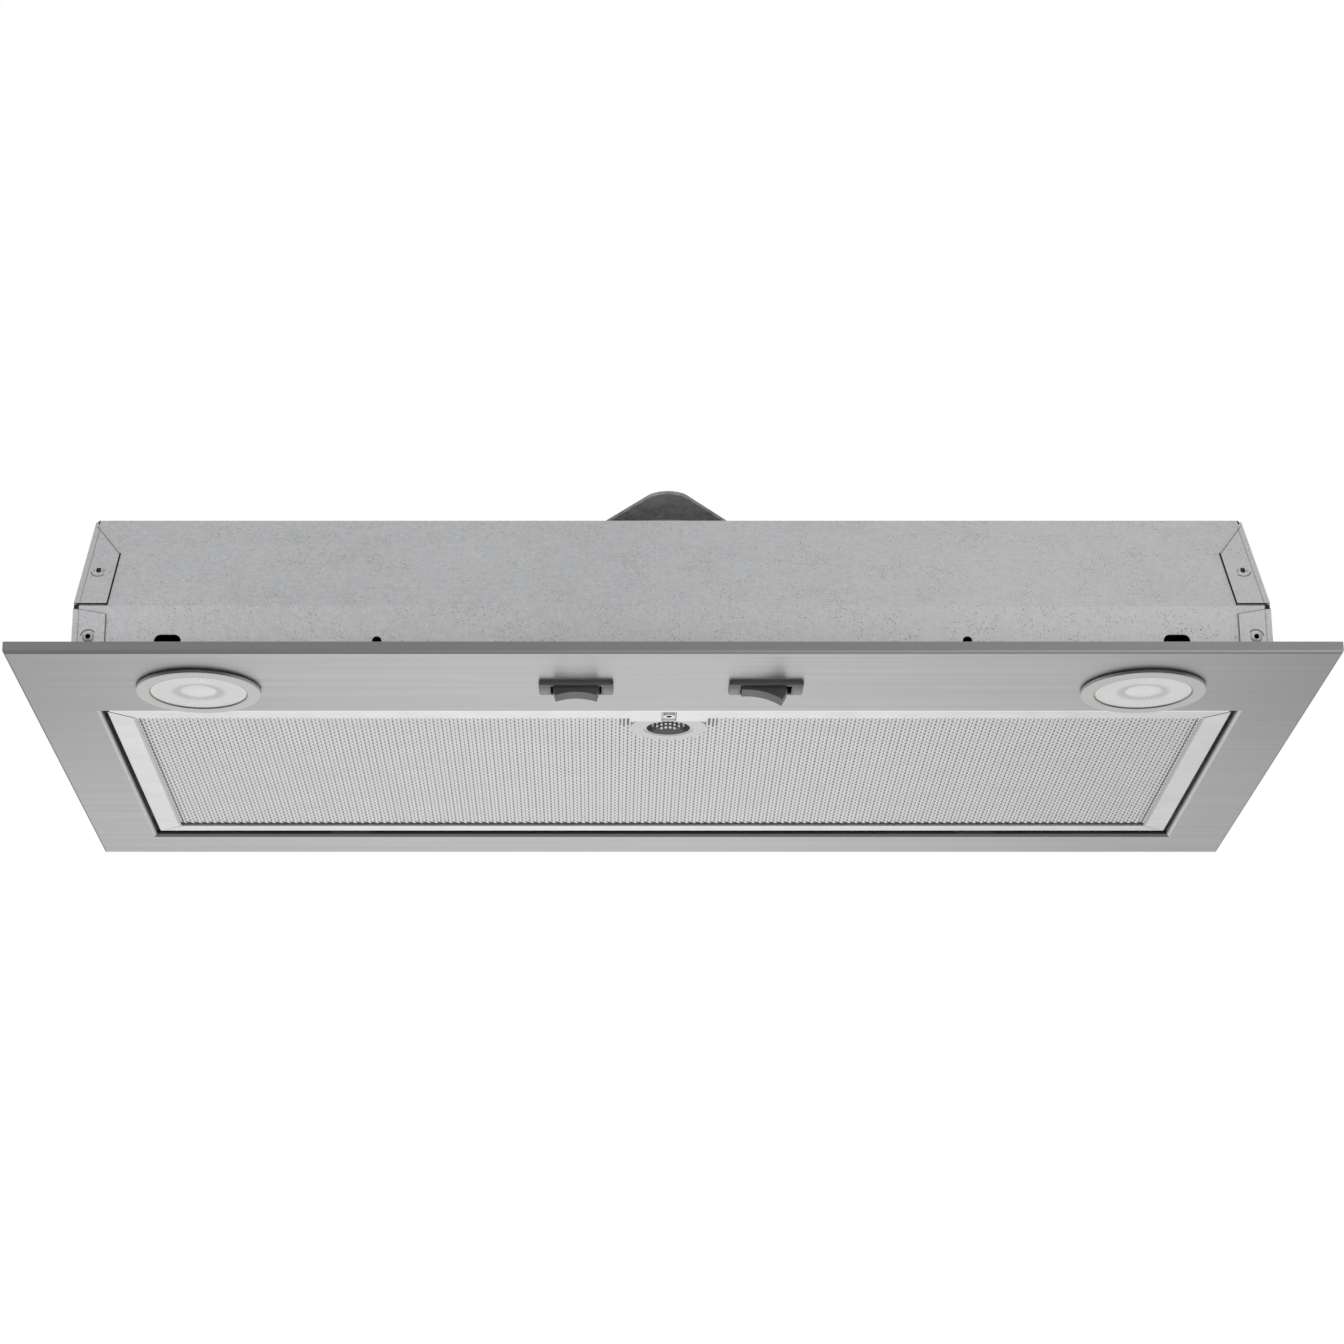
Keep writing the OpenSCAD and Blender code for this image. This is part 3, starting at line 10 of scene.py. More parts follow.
import bpy
import bmesh
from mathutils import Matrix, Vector


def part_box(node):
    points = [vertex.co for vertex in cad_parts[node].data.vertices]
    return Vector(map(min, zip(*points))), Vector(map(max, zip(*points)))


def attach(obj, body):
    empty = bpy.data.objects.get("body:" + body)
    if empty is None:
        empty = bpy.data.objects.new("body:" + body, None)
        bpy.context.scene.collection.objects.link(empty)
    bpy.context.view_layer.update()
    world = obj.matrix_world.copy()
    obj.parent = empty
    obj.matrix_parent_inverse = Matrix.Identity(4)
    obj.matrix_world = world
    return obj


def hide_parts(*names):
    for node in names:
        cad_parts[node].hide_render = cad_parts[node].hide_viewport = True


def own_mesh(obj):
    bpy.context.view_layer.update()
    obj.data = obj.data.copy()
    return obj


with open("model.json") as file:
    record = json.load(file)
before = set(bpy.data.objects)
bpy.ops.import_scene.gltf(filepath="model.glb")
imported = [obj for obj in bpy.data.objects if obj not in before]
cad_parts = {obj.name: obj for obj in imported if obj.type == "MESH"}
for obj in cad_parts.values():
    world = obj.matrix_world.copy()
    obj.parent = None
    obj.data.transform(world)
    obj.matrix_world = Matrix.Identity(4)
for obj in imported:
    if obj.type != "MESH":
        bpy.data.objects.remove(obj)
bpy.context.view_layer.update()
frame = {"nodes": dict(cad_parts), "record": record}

MM = 0.001

# Camera, as fitted to the plate and the body; the picture's side and the focal length are in pixels
PICTURE_SIDE = 1344
FOCAL_PIXELS = 3300
SENSOR = 36
CAMERA_PLACE = Vector((-0.0288, -1.4057, -0.4436))
CAMERA_LEVEL = 90
CAMERA_PITCH = 19.08
CAMERA_SHIFT = 0.0522
CAMERA_REACH = 50

# Light of the world on the object
WORLD_LIGHT = 0.62

# Floor under the object: its place, its glow to the camera, and its shine in reflections, which
# falls off to both sides
FLOOR_Z = -0.62
FLOOR_REACH = 6
FLOOR_GREY = 0.86
FLOOR_ROUGH = 0.8
FLOOR_GLOW = 0.42
FLOOR_SHINE = 0.34
RIGHT_FALL = 0.36
LEFT_FALL = 0.2
SHINE_REACH = 0.8

# Noises: scale, detail and, where it isn't the usual one, roughness
NOISE_ROUGHNESS = 0.55
CLOUD = (60, 3.0)
PLATE_CLOUD = (7, 2.0)
ZINC_BLOOM = (9, 2.0)
ZINC_MIST = (520, 3.0, 0.8)
ZINC_PEPPER = (1500, 1.0, 0.6)
ZINC_PATCHES = (60, 3.0, 0.7)
PLASTIC_PORES = (2600, 2.0)
PLASTIC_CLOUD = (90, 2.0)
SHEET_CLOUD = (500, 2.0)
LENS_CLOUD = (300, 2.0)
BRACKET_MOTTLE = (420, 4.0, 0.75)
BRACKET_BLOOM = (40, 2.0)

# Noises that run across the object: what each axis is scaled by, then as above
GRAIN_SCALE = (9, 2600, 2600)
GRAIN = (1, 4.0, 0.7)
STREAK_SCALE = (3, 260, 260)
STREAK = (1, 2.0)
SCUFF_SCALE = (40, 900, 900)
SCUFF = (1, 3.0)

# Part of a noise over which a finish turns from its dark tone to its light one
TONE_LOW = 0.3
TONE_HIGH = 0.7

# Soft edge of a painted line
SOFT = 0.1 * MM

# Trim plate: satin face, with painted shade toward both ends and along the front bend
PLATE_DARK = 0.53
PLATE_LIGHT = (0.66, 0.66, 0.655)
PLATE_SHARES = (0.45, 0.35, 0.2)
PLATE_ROUGH = 0.3
PLATE_ROUGH_SHARES = (0.14, 0.06)
PLATE_BUMP = (0.12, 0.0002)
END_GREY = 0.3
END_SHARE = 0.5
END_X = (150 * MM, 290 * MM)
END_Y = (100 * MM, -146 * MM)
BEND_GREY = 0.2
BEND_SHARE = 0.4
BEND_SHADE = (2 * MM, 0.3 * MM)

# Its lip: painted shade, darker at the left, and a painted shadow line along its foot
LIP_FOOT_Z = (0.02 * MM, 0.1 * MM)
LIP_LEFT = 0.22
LIP_RIGHT = 0.45
LIP_REACH = 250 * MM
FOOT_GREY = 0.12
FOOT_SHARE = 0.5
FOOT_LINE_Z = (0.8 * MM, 0.5 * MM)

# The folded edges of its opening: a painted highlight at the plate's face, painted black shade deeper
# inside, and painted shade along the rear fold
INSIDE_X = (260 * MM, 255 * MM)
INSIDE_Y = (-130 * MM, -128 * MM)
FOLD_Z = (0.6 * MM, 4 * MM)
FOLD_FACE = 0.8
FOLD_DEEP = 0.03
REAR_FOLD_FACE = 0.17
REAR_FOLD_DEEP = 0.04
FOLD_DULL = 0.85
OPENING_REAR = 118 * MM
REAR_FOLD_W = 3 * MM

# Zinc coat: painted shade a little darker below the front's bend, and painted light paler to the right
ZINC_DARK = (0.58, 0.585, 0.595)
ZINC_LIGHT = (0.72, 0.725, 0.735)
ZINC_SHARES = (0.12, 0.3, 0.58)
ZINC_TONE = (0.25, 0.75)
ZINC_METAL = 0.75
ZINC_ROUGH = 0.5
ZINC_MIST_ROUGH = 0.1
ZINC_BUMP = (0.08, 0.0003)
FLAKE_SCALE = 420.0
SPECK_GREY = 0.16
SPECK_SHARE = 0.6
SPECK_PATCHES = 0.35
SPECK_RANGE = (0.8, 0.9)
BEND_Z = 25.5 * MM
BEND_SOFT = 0.5 * MM
LOW_WALL_Y = (-130 * MM, -131 * MM)
LOW_GREY = (0.42, 0.42, 0.425)
LOW_SHARE = 0.12
TO_RIGHT_X = (-60 * MM, 220 * MM)
RIGHT_GREY = (0.95, 0.95, 0.96)
RIGHT_GAIN = 0.16

# Painted shadow black for edge faces, shadow lines and gaps, and how much less metallic a black gap or
# bore is
SHADOW_BLACK = 0.03
BLACK_DULL = 0.9

# Side panels: their tabs on the front, and the shares of black in the painted shadow lines
BODY_HALF_W = 246 * MM
PANEL_T = 0.8 * MM
TAB_W = 13.4 * MM
TAB_GAP = 1 * MM
TAB_SLANT = 2.4 * MM
TAB_TOP_Z = 79.8 * MM
TAB_SIDE_Z = 59.7 * MM
DOWN_SLOPE = (0, -0.648, -0.762)
OUT_OF_SLOPE = (0, -0.762, 0.648)
INWARD_FACE = (0.6, 0.9)
SLOPE_FACE = (0.8, 0.95)
LINE_GREY = 0.08
LINE_W = 0.5 * MM
FOLD_IN = 2.2 * MM
FOLD_SHARE = 0.4
SLANT_SHARE = 0.6
TAB_TOP_SHARE = 0.5

# Notch at the bend's outer corners, painted black as shade
NOTCH_BELOW = 1.6 * MM
NOTCH_H = 2.4 * MM
NOTCH_DEPTH = (4 * MM, 3 * MM)

# Body shell: painted shadow lines beside the tabs, and painted shade at its upper corners
SEAM_SHADOW_W = 0.45 * MM
UPPER_SEAM_LOW = (25.5 * MM, 26 * MM)
UPPER_SEAM_TOP = (60.5 * MM, 60 * MM)
LOWER_SEAM_TOP = (22.5 * MM, 22 * MM)
LOWER_SEAM_SHADOW_SHARE = 0.4
CORNER_W = 0.7 * MM
CORNER_Z = (79.5 * MM, 80 * MM)

# Rivets: their places on the front, the painted shadow arcs beside them, and the painted black shade of
# their mouths
RIVET_X = 239.2 * MM
RIVET_LOW_Z = 11.7 * MM
RIVET_HIGH_Z = 47.4 * MM
RIVET_REACH = (30 * MM, 28 * MM)
ARC_R = 2.9 * MM
ARC_W = 0.6 * MM
ARC_LEAN = 0.25
ARC_SHARE = 0.8
ARC_FROM = (0.8 * MM, 1.8 * MM)
MOUTH_R = 1.05 * MM
MOUTH_GREY = 0.004
MOUTH_DEPTH = (0.05 * MM, 0.2 * MM)
HEAD_EDGE_GREY = 0.4
HEAD_FACE = (0.74, 0.98)
BORE_FACE = (0.5, 0.7)

# Plated and rolled metal
METAL_SHARES = (0.3, 0.7)
SCUFF_ROUGH = 0.12
SCUFF_BUMP = (0.06, 0.0002)

# Faces that look up or down, by the upright part of their normal
LEVEL_FACE = (0.4, 0.8)

# Lamp housing: satin face, a seam round the lens, and the turned side, with painted reflection and a
# painted black contact shadow next to the plate
RIM_DARK = (0.7, 0.7, 0.68)
RIM_LIGHT = (0.78, 0.78, 0.76)
RIM_METAL = 0.35
RIM_ROUGH = 0.3
RIM_CLOUD_ROUGH = 0.1
LENS_SEAM_W = 0.5 * MM
LENS_SEAM_GREY = (0.2, 0.2, 0.19)
LENS_SEAM_SHARE = 0.5
FLANK_X = (10 * MM, 24 * MM)
FLANK_DARK = 0.14
FLANK_LIGHT = 0.5
RIM_CONTACT_SHADOW = 0.01
RIM_CONTACT_SHADOW_Z = (-0.5 * MM, -0.9 * MM)

# Plastic
PORE_ROUGH = 0.1
PORE_BUMP = (0.12, 0.0001)

# Switches: their middles, and the painted highlights at the ends of their bezels
SWITCH_X = 39.5 * MM
SWITCH_Y = -106 * MM
BEZEL_DARK = 0.05
BEZEL_HIGHLIGHT = 0.4
BEZEL_SHARE = 0.7
BEZEL_ROUGH = 0.26
BEZEL_X = (10 * MM, 12 * MM)
BEZEL_Y = (-5 * MM, 4 * MM)

# Latch bolt: plated, with a bright eyelet round a bore painted black as shade
EYELET_Y = -64.4 * MM
EYELET_R = 2.4 * MM
EYELET_BORE_R = 1.1 * MM
PLATED_DARK = 0.6
PLATED_LIGHT = 0.8
EYELET_GREY = 0.97
BORE_GREY = 0.01
PLATED_ROUGH = 0.3

# Filter frame: widths of its rails, the painted shade of the bevel beside the mesh, and the mitres at the
# front
SIDE_BAND = 11.4 * MM
FRONT_BAND = 9.4 * MM
REAR_BAND = 8.4 * MM
RAIL_DARK = 0.88
RAIL_LIGHT = 0.98
RAIL_SHARES = (0.6, 0.4)
RAIL_ROUGH = 0.3
BEVEL_W = 1.4 * MM
BEVEL_GREY = (0.45, 0.45, 0.46)
BEVEL_SHARE = 0.6
BEVEL_FRONT = 1 * MM
BEVEL_REAR = 0.5 * MM
MITRE_W = 1.1 * MM
MITRE_GREY = 0.02
MITRE_END = 1 * MM

# Finger recess: bright dots in a bowl of painted light and shade, and a painted shadow ring on the flat
# round it
DOT_PITCH = 1.9 * MM
DOT_R = 0.56 * MM
DOT_EDGE = (0.8, 1.2)
DOT_GREY = 0.95
DOTS_REACH = (7.4 * MM, 8 * MM)
BOWL_REACH = (9.2 * MM, 9.7 * MM)
BOWL_LIT = 0.5
BOWL_DARK = 0.02
BOWL_REAR = 0.14
BOWL_DARK_Y = (-6 * MM, 1 * MM)
BOWL_REAR_Y = (4 * MM, 7 * MM)
BOWL_DULL = 0.7
BOWL_ROUGH = 0.1
CUP_RING_R = 10.3 * MM
CUP_RING_W = 0.8 * MM
CUP_RING_Y = (-2 * MM, 6 * MM)
CUP_RING_GREY = 0.2
CUP_RING_SHARE = 0.7
CUP_GREY = 0.72
CUP_ROUGH = 0.38

# The filter's sheet behind the strands, painted dark as shade, and black toward the rear
SHEET_DARK = 0.14
SHEET_LIGHT = 0.3
SHEET_REAR = 0.02
SHEET_METAL = 0.5
SHEET_ROUGH = 0.5
SHEET_CLOUD_ROUGH = 0.1

# Motor bracket: zinc darkened by painted shade, and mottled
BRACKET_DARK = 0.17
BRACKET_LIGHT = 0.42
BRACKET_SHARES = (0.6, 0.4)
BRACKET_METAL = 0.5
BRACKET_ROUGH = 0.6
BRACKET_MOTTLE_ROUGH = 0.1
BRACKET_BUMP = (0.1, 0.0003)

# Expanded metal of the filter: strands that run front to rear and swing towards their neighbours
STRAND_PITCH = 1.75 * MM
STRAND_STEP = 2.2 * MM
STRAND_PAIRING = 0.05 * MM
STRAND_W = 1.48 * MM
STRAND_SWING = 0.3 * MM
STRAND_RIDGE = 0.1 * MM
STRAND_GAP = 0.05 * MM
EDGE_STRAND_W = 0.95 * MM
EDGE_STRANDS = 2
REAR_SHADOW = 4.4 * MM
LATCH_BAND = 13.6 * MM
LATCH_LAND = 15.2 * MM
SLIT_REACH = 21 * MM
SLIT_DEPTH = 12 * MM
SLIT_STRAND_W = 0.9 * MM

# Lens of a lamp, with radii as shares of its own: a boss, a groove, then ribs out to a smooth rim
LENS_RIBS = 60
LENS_STEPS = 4
LENS_BOSS = 0.3
LENS_GROOVE_END = 0.42
LENS_RIM = 0.94
LENS_RINGS = (0.06, 0.16, 0.24, LENS_BOSS, 0.33, 0.36, LENS_GROOVE_END, 0.55, 0.7, 0.84, LENS_RIM, 0.97, 1)
LENS_BOSS_H = 0.25 * MM
LENS_GROOVE_H = 0.9 * MM
LENS_FACE_H = 0.35 * MM
LENS_RIB_H = 0.32 * MM

# Its finish: painted shade on the ribs and on the ring round the boss, and a faint glow as painted light
LENS_DARK = (0.93, 0.93, 0.92)
LENS_LIGHT = (0.98, 0.98, 0.97)
LENS_SHADE = 0.6
LENS_GLOW = (0.9, 0.9, 0.88)
LENS_GLOW_STRENGTH = 0.1
LENS_COAT = 0.3
LENS_ROUGH = 0.22
LENS_CLOUD_ROUGH = 0.06
RIB_SHARE = 0.35
RIB_INNER = (0.5, 0.62)
RIB_OUTER = (0.97, 0.9)
RING_SHARE = 0.8
RING_INNER = (0.34, 0.4)
RING_OUTER = (0.62, 0.46)

body_low, body_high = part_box("body_shell")
filter_low, filter_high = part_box("filter_frame")


# Node trees written as expressions


class Value:
    """A socket of a node tree. Arithmetic on it adds Math nodes."""

    def __init__(self, finish, socket):
        self.finish = finish
        self.socket = socket

    def math(self, operation, *others):
        return self.finish.node("ShaderNodeMath", {"operation": operation}, self, *others)

    def absolute(self):
        return self.math("ABSOLUTE")

    def at_least(self, other):
        return self.math("MAXIMUM", other)

    def __add__(self, other):
        return self.math("ADD", other)

    __radd__ = __add__

    def __mul__(self, other):
        return self.math("MULTIPLY", other)

    __rmul__ = __mul__

    def __sub__(self, other):
        return self.math("SUBTRACT", other)

    def __rsub__(self, other):
        return self.finish.node("ShaderNodeMath", {"operation": "SUBTRACT"}, other, self)


def socket_called(sockets, name):
    """The socket with this identifier, or with this name where spaces may be underscores."""
    for socket in sockets:
        if name in (socket.identifier, socket.name, socket.name.replace(" ", "_")):
            return socket
    raise KeyError(name)


class Finish:
    """The node tree of a material or of the world, with short ways to add its nodes."""

    def __init__(self, owner):
        self.owner = owner
        owner.use_nodes = True
        self.tree = owner.node_tree
        self.tree.nodes.clear()

    def feed(self, socket, value):
        """Links a value to an input, or sets it; a number stands for a grey."""
        if isinstance(value, Value):
            self.tree.links.new(value.socket, socket)
        elif socket.type == "RGBA":
            colour = value if isinstance(value, tuple) else (value, value, value)
            socket.default_value = (*colour, 1)
        else:
            socket.default_value = value

    def node(self, kind, settings, *values, output=None, **named):
        """A new node: its type, its settings, and the values of its inputs in order or by name."""
        made = self.tree.nodes.new(kind)
        for name, setting in settings.items():
            setattr(made, name, setting)
        for socket, value in zip(made.inputs, values):
            self.feed(socket, value)
        for name, value in named.items():
            self.feed(socket_called(made.inputs, name), value)
        return Value(self, socket_called(made.outputs, output) if output else made.outputs[0])

    def show(self, shader, kind="ShaderNodeOutputMaterial"):
        """Ends the tree with a shader, and gives back the material or world."""
        out = self.tree.nodes.new(kind)
        self.tree.links.new(shader.socket, out.inputs["Surface"])
        return self.owner

    def surface(self, **sockets):
        return self.show(self.node("ShaderNodeBsdfPrincipled", {}, **sockets))

    def vector(self, operation, *values, output="Vector"):
        return self.node("ShaderNodeVectorMath", {"operation": operation}, *values, output=output)

    def dot(self, vector, direction):
        return self.vector("DOT_PRODUCT", vector, direction, output="Value")

    def part(self, vector, name):
        """One coordinate of a vector."""
        return self.node("ShaderNodeSeparateXYZ", {}, vector, output=name)

    def place(self):
        """The point on the object, carried along with its body."""
        return self.node("ShaderNodeTexCoord", {}, output="Object")

    def axis(self, name):
        return self.part(self.place(), name)

    def across(self):
        """Distance from the middle plane."""
        return self.axis("X").absolute()

    def length(self, first, second):
        return (first * first + second * second).math("SQRT")

    def geometry(self, output):
        return self.node("ShaderNodeNewGeometry", {}, output=output)

    def noise(self, vector, scale, detail, roughness=NOISE_ROUGHNESS):
        return self.node(
            "ShaderNodeTexNoise", {}, Vector=vector, Scale=scale, Detail=detail, Roughness=roughness
        )

    def cloudy(self, noise):
        """A noise that is alike in all directions."""
        return self.noise(self.place(), *noise)

    def grained(self, scales, noise):
        """A noise whose point has each axis scaled, so that it runs one way."""
        return self.noise(self.vector("MULTIPLY", self.place(), scales), *noise)

    def mixed(self, shares, *parts):
        """The parts added up, each times its share."""
        first, *others = [part * share for part, share in zip(parts, shares)]
        return sum(others, first)

    def ramp(self, value, low, high):
        """value moved from low..high to 0..1, and held there."""
        settings = {"clamp": True, "interpolation_type": "SMOOTHSTEP"}
        return self.node("ShaderNodeMapRange", settings, value, low, high)

    def tone(self, noise):
        return self.ramp(noise, TONE_LOW, TONE_HIGH)

    def line(self, off, width):
        """1 where off lies between 0 and a width, 0 elsewhere."""
        return self.ramp(off, -SOFT, 0) * self.ramp(off, width, width - SOFT)

    def blend(self, mask, first, second):
        """The second colour where the mask is 1, and the first where it is 0."""
        return self.node(
            "ShaderNodeMix", {"data_type": "RGBA"},
            Factor_Float=mask, A_Color=first, B_Color=second, output="Result_Color"
        )

    def bump(self, height, strength, distance):
        return self.node("ShaderNodeBump", {}, Height=height, Strength=strength, Distance=distance)

    def faces_level(self):
        """1 on faces that look up or down, 0 on upright ones."""
        return self.ramp(self.part(self.geometry("Normal"), "Z").absolute(), *LEVEL_FACE)

    def from_side(self):
        """Distance in from the body's outer side."""
        return BODY_HALF_W - self.across()

    def from_rivet(self):
        """Offsets across and up from the nearest rivet of the front, and 1 beside a lower one."""
        upright = self.ramp(self.axis("Z"), BEND_Z + BEND_SOFT, BEND_Z)
        middle_z = RIVET_LOW_Z * upright + RIVET_HIGH_Z * (1 - upright)
        return self.across() - RIVET_X, self.axis("Z") - middle_z, upright

    def near_front(self, reach):
        """1 near the body's front, fading out between the reach's two distances behind it."""
        fade_end, fade_start = reach
        return self.ramp(self.axis("Y"), body_low.y + fade_end, body_low.y + fade_start)

    def notch(self):
        """1 where the notch at the bend's outer corners is painted black as shade."""
        on_corner = self.ramp(self.from_side(), FOLD_IN + SOFT, FOLD_IN) * self.near_front(NOTCH_DEPTH)
        return on_corner * self.line(self.axis("Z") - BEND_Z + NOTCH_BELOW, NOTCH_H)


def new_finish(name):
    return Finish(bpy.data.materials.new(name))


# Finishes


def brushed_steel():
    """Trim plate: a satin face with its grain running across, painted shade toward both ends, along the
    front bend and on its lip, and a painted highlight and painted shade on its folds.
    """
    f = new_finish("brushed_steel")
    grain = f.grained(GRAIN_SCALE, GRAIN)
    streaks = f.grained(STREAK_SCALE, STREAK)
    cloud = f.cloudy(PLATE_CLOUD)
    satin = f.blend(f.tone(f.mixed(PLATE_SHARES, grain, streaks, cloud)), PLATE_DARK, PLATE_LIGHT)
    # Painted shade: the satin face darkens toward both ends
    to_end = f.ramp(f.across(), *END_X) * f.ramp(f.axis("Y"), *END_Y)
    satin = f.blend(to_end * END_SHARE, satin, END_GREY)
    # Painted shade along the front bend
    front_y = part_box("trim_plate")[0].y
    shade_end, shade_start = BEND_SHADE
    at_bend = f.ramp(f.axis("Y"), front_y + shade_end, front_y + shade_start)
    satin = f.blend(at_bend * BEND_SHARE, satin, BEND_GREY)
    turned_up = f.ramp(f.axis("Z"), *LIP_FOOT_Z)
    # Painted shade on the lip, darker at the left, and a painted shadow line along its foot
    lip = f.blend(f.ramp(f.axis("X"), -LIP_REACH, LIP_REACH), LIP_LEFT, LIP_RIGHT)
    lip = f.blend(f.ramp(f.axis("Z"), *FOOT_LINE_Z) * FOOT_SHARE, lip, FOOT_GREY)
    # Painted highlight and painted shade on the folds of the opening
    inside = f.ramp(f.across(), *INSIDE_X) * f.ramp(f.axis("Y"), *INSIDE_Y)
    deep = f.ramp(f.axis("Z"), *FOLD_Z)
    at_rear = f.line(f.axis("Y") - OPENING_REAR, REAR_FOLD_W)
    rear_fold = f.blend(deep, REAR_FOLD_FACE, REAR_FOLD_DEEP)
    fold = f.blend(at_rear, f.blend(deep, FOLD_FACE, FOLD_DEEP), rear_fold)
    return f.surface(
        Base_Color=f.blend(turned_up, satin, f.blend(inside, lip, fold)),
        Metallic=1 - FOLD_DULL * (turned_up * inside * (1 - at_rear)),
        Roughness=PLATE_ROUGH + f.mixed(PLATE_ROUGH_SHARES, grain, cloud),
        Normal=f.bump(grain, *PLATE_BUMP),
    )


def zinc_coat(f):
    """Colour, roughness and bump of a zinc coat: fine dark specks and the faintest flakes, with painted
    shade on the lower front wall and painted light toward the right.
    """
    flakes = f.node(
        "ShaderNodeTexVoronoi", {"feature": "F1"}, Vector=f.place(), Scale=FLAKE_SCALE, output="Color"
    )
    flake = f.node("ShaderNodeSeparateColor", {}, flakes)
    specks = f.ramp(f.cloudy(ZINC_PEPPER) + SPECK_PATCHES * f.cloudy(ZINC_PATCHES), *SPECK_RANGE)
    bloom = f.cloudy(ZINC_BLOOM)
    mist = f.cloudy(ZINC_MIST)
    coat = f.blend(f.ramp(f.mixed(ZINC_SHARES, flake, bloom, mist), *ZINC_TONE), ZINC_DARK, ZINC_LIGHT)
    # Painted shade on the lower front wall, below the bend
    low = f.ramp(f.axis("Z"), BEND_Z, BEND_Z - BEND_SOFT) * f.ramp(f.axis("Y"), *LOW_WALL_Y)
    # Painted light: the coat grows paler toward the right, more so on the lower wall
    to_right = f.ramp(f.axis("X"), *TO_RIGHT_X)
    coat = f.blend(low * (1 - to_right) * LOW_SHARE, coat, LOW_GREY)
    coat = f.blend(to_right * (RIGHT_GAIN + low * RIGHT_GAIN), coat, RIGHT_GREY)
    coat = f.blend(specks * SPECK_SHARE, coat, SPECK_GREY)
    return coat, ZINC_ROUGH + ZINC_MIST_ROUGH * mist, f.bump(mist, *ZINC_BUMP)


def galvanised():
    """Zinc-coated sheet."""
    f = new_finish("galvanised")
    colour, rough, bump = zinc_coat(f)
    return f.surface(Base_Color=colour, Metallic=ZINC_METAL, Roughness=rough, Normal=bump)


def panel_zinc_painted_shadows(side):
    """Side panel: zinc, with painted shadow black on the edge faces of its tabs, and painted shadow lines
    along them and arcs round the rivets.
    """
    f = new_finish(side + "_cut_edge_zinc")
    colour, rough, bump = zinc_coat(f)
    normal = f.geometry("True Normal")
    from_side = f.from_side()
    height = f.axis("Z")
    on_tab = f.ramp(from_side, PANEL_T + SOFT, PANEL_T + 2 * SOFT)
    inward = f.dot(normal, (1 if side == "left" else -1, 0, 0))
    downward = f.ramp(f.dot(normal, DOWN_SLOPE), *SLOPE_FACE)
    # Painted shadow: black on the tabs' inward and downward edge faces
    cut = f.ramp(inward, *INWARD_FACE).at_least(downward) * on_tab
    # Painted shadow lines along the tabs' folds and tops, and painted shadow arcs beside the rivets
    folded = f.line(from_side - FOLD_IN, LINE_W) * FOLD_SHARE
    upper_side = TAB_TOP_Z - from_side * ((TAB_TOP_Z - TAB_SIDE_Z) / TAB_W) - height
    slanted = f.line(upper_side, 2 * LINE_W) * SLANT_SHARE
    lower_top = BEND_Z - TAB_GAP - from_side * (TAB_SLANT / TAB_W) - height
    tops = slanted.at_least(f.line(lower_top, LINE_W) * TAB_TOP_SHARE) * on_tab
    off_x, off_z, upright = f.from_rivet()
    arc = f.line(f.length(off_x, off_z) - ARC_R, ARC_W) * ARC_SHARE
    arc = arc * f.ramp(off_z * (2 * upright - 1) + off_x * ARC_LEAN, *ARC_FROM)
    lines = folded.at_least(tops).at_least(arc * f.near_front(RIVET_REACH))
    return f.surface(
        Base_Color=f.blend(cut.at_least(f.notch()), f.blend(lines, colour, LINE_GREY), SHADOW_BLACK),
        Metallic=ZINC_METAL,
        Roughness=rough,
        Normal=bump,
    )


def seamed_zinc():
    """Body shell: zinc, with a painted shadow line along the inner edges of the side panels' tabs, and
    painted shade at its upper corners and notches.
    """
    f = new_finish("seamed_zinc")
    colour, rough, bump = zinc_coat(f)
    height = f.axis("Z")
    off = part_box("right_side_panel")[0].x - f.across()
    beside = f.ramp(off, SEAM_SHADOW_W + SOFT, SEAM_SHADOW_W) * f.ramp(off, -SOFT, 0)
    upper = f.ramp(height, *UPPER_SEAM_LOW) * f.ramp(height, *UPPER_SEAM_TOP)
    lower = f.ramp(height, *LOWER_SEAM_TOP) * LOWER_SEAM_SHADOW_SHARE
    corner = f.line(body_high.x - f.across(), CORNER_W) * f.ramp(height, *CORNER_Z)
    # Painted shadow beside the tabs, at the upper corners and in the notches
    dark = (beside * (upper + lower)).at_least(corner).at_least(f.notch())
    return f.surface(
        Base_Color=f.blend(dark, colour, SHADOW_BLACK),
        Metallic=ZINC_METAL,
        Roughness=rough,
        Normal=bump,
    )


def holed_rivets():
    """Blind rivets: zinc heads with painted shade on their edges, and painted black shade inside their
    holes.
    """
    f = new_finish("holed_rivets")
    colour, rough, _ = zinc_coat(f)
    normal = f.geometry("True Normal")
    along = 0
    for axis in ((0, 1, 0), (0, 0, 1), OUT_OF_SLOPE):
        along = f.dot(normal, axis).absolute().at_least(along)
    # Painted shade on the heads' slanted edges
    head = f.blend(f.ramp(along, *HEAD_FACE), HEAD_EDGE_GREY, colour)
    on_slope = Vector((0, body_low.y, BEND_Z)).dot(Vector(OUT_OF_SLOPE))
    off_x, off_z, upright = f.from_rivet()
    under_slope = on_slope - f.dot(f.place(), OUT_OF_SLOPE)
    depth = upright * (f.axis("Y") - body_low.y) + (1 - upright) * under_slope
    at_front = f.near_front(RIVET_REACH)
    # Painted black shade in the mouths and bores, a little wider than the holes
    mouth = at_front * f.ramp(f.length(off_x, off_z), MOUTH_R + SOFT, MOUTH_R)
    shown = f.ramp(along, *BORE_FACE) * (1 - at_front * f.ramp(depth, *MOUTH_DEPTH)) * (1 - mouth)
    return f.surface(
        Base_Color=f.blend(shown, MOUTH_GREY, head), Metallic=shown * ZINC_METAL, Roughness=rough
    )


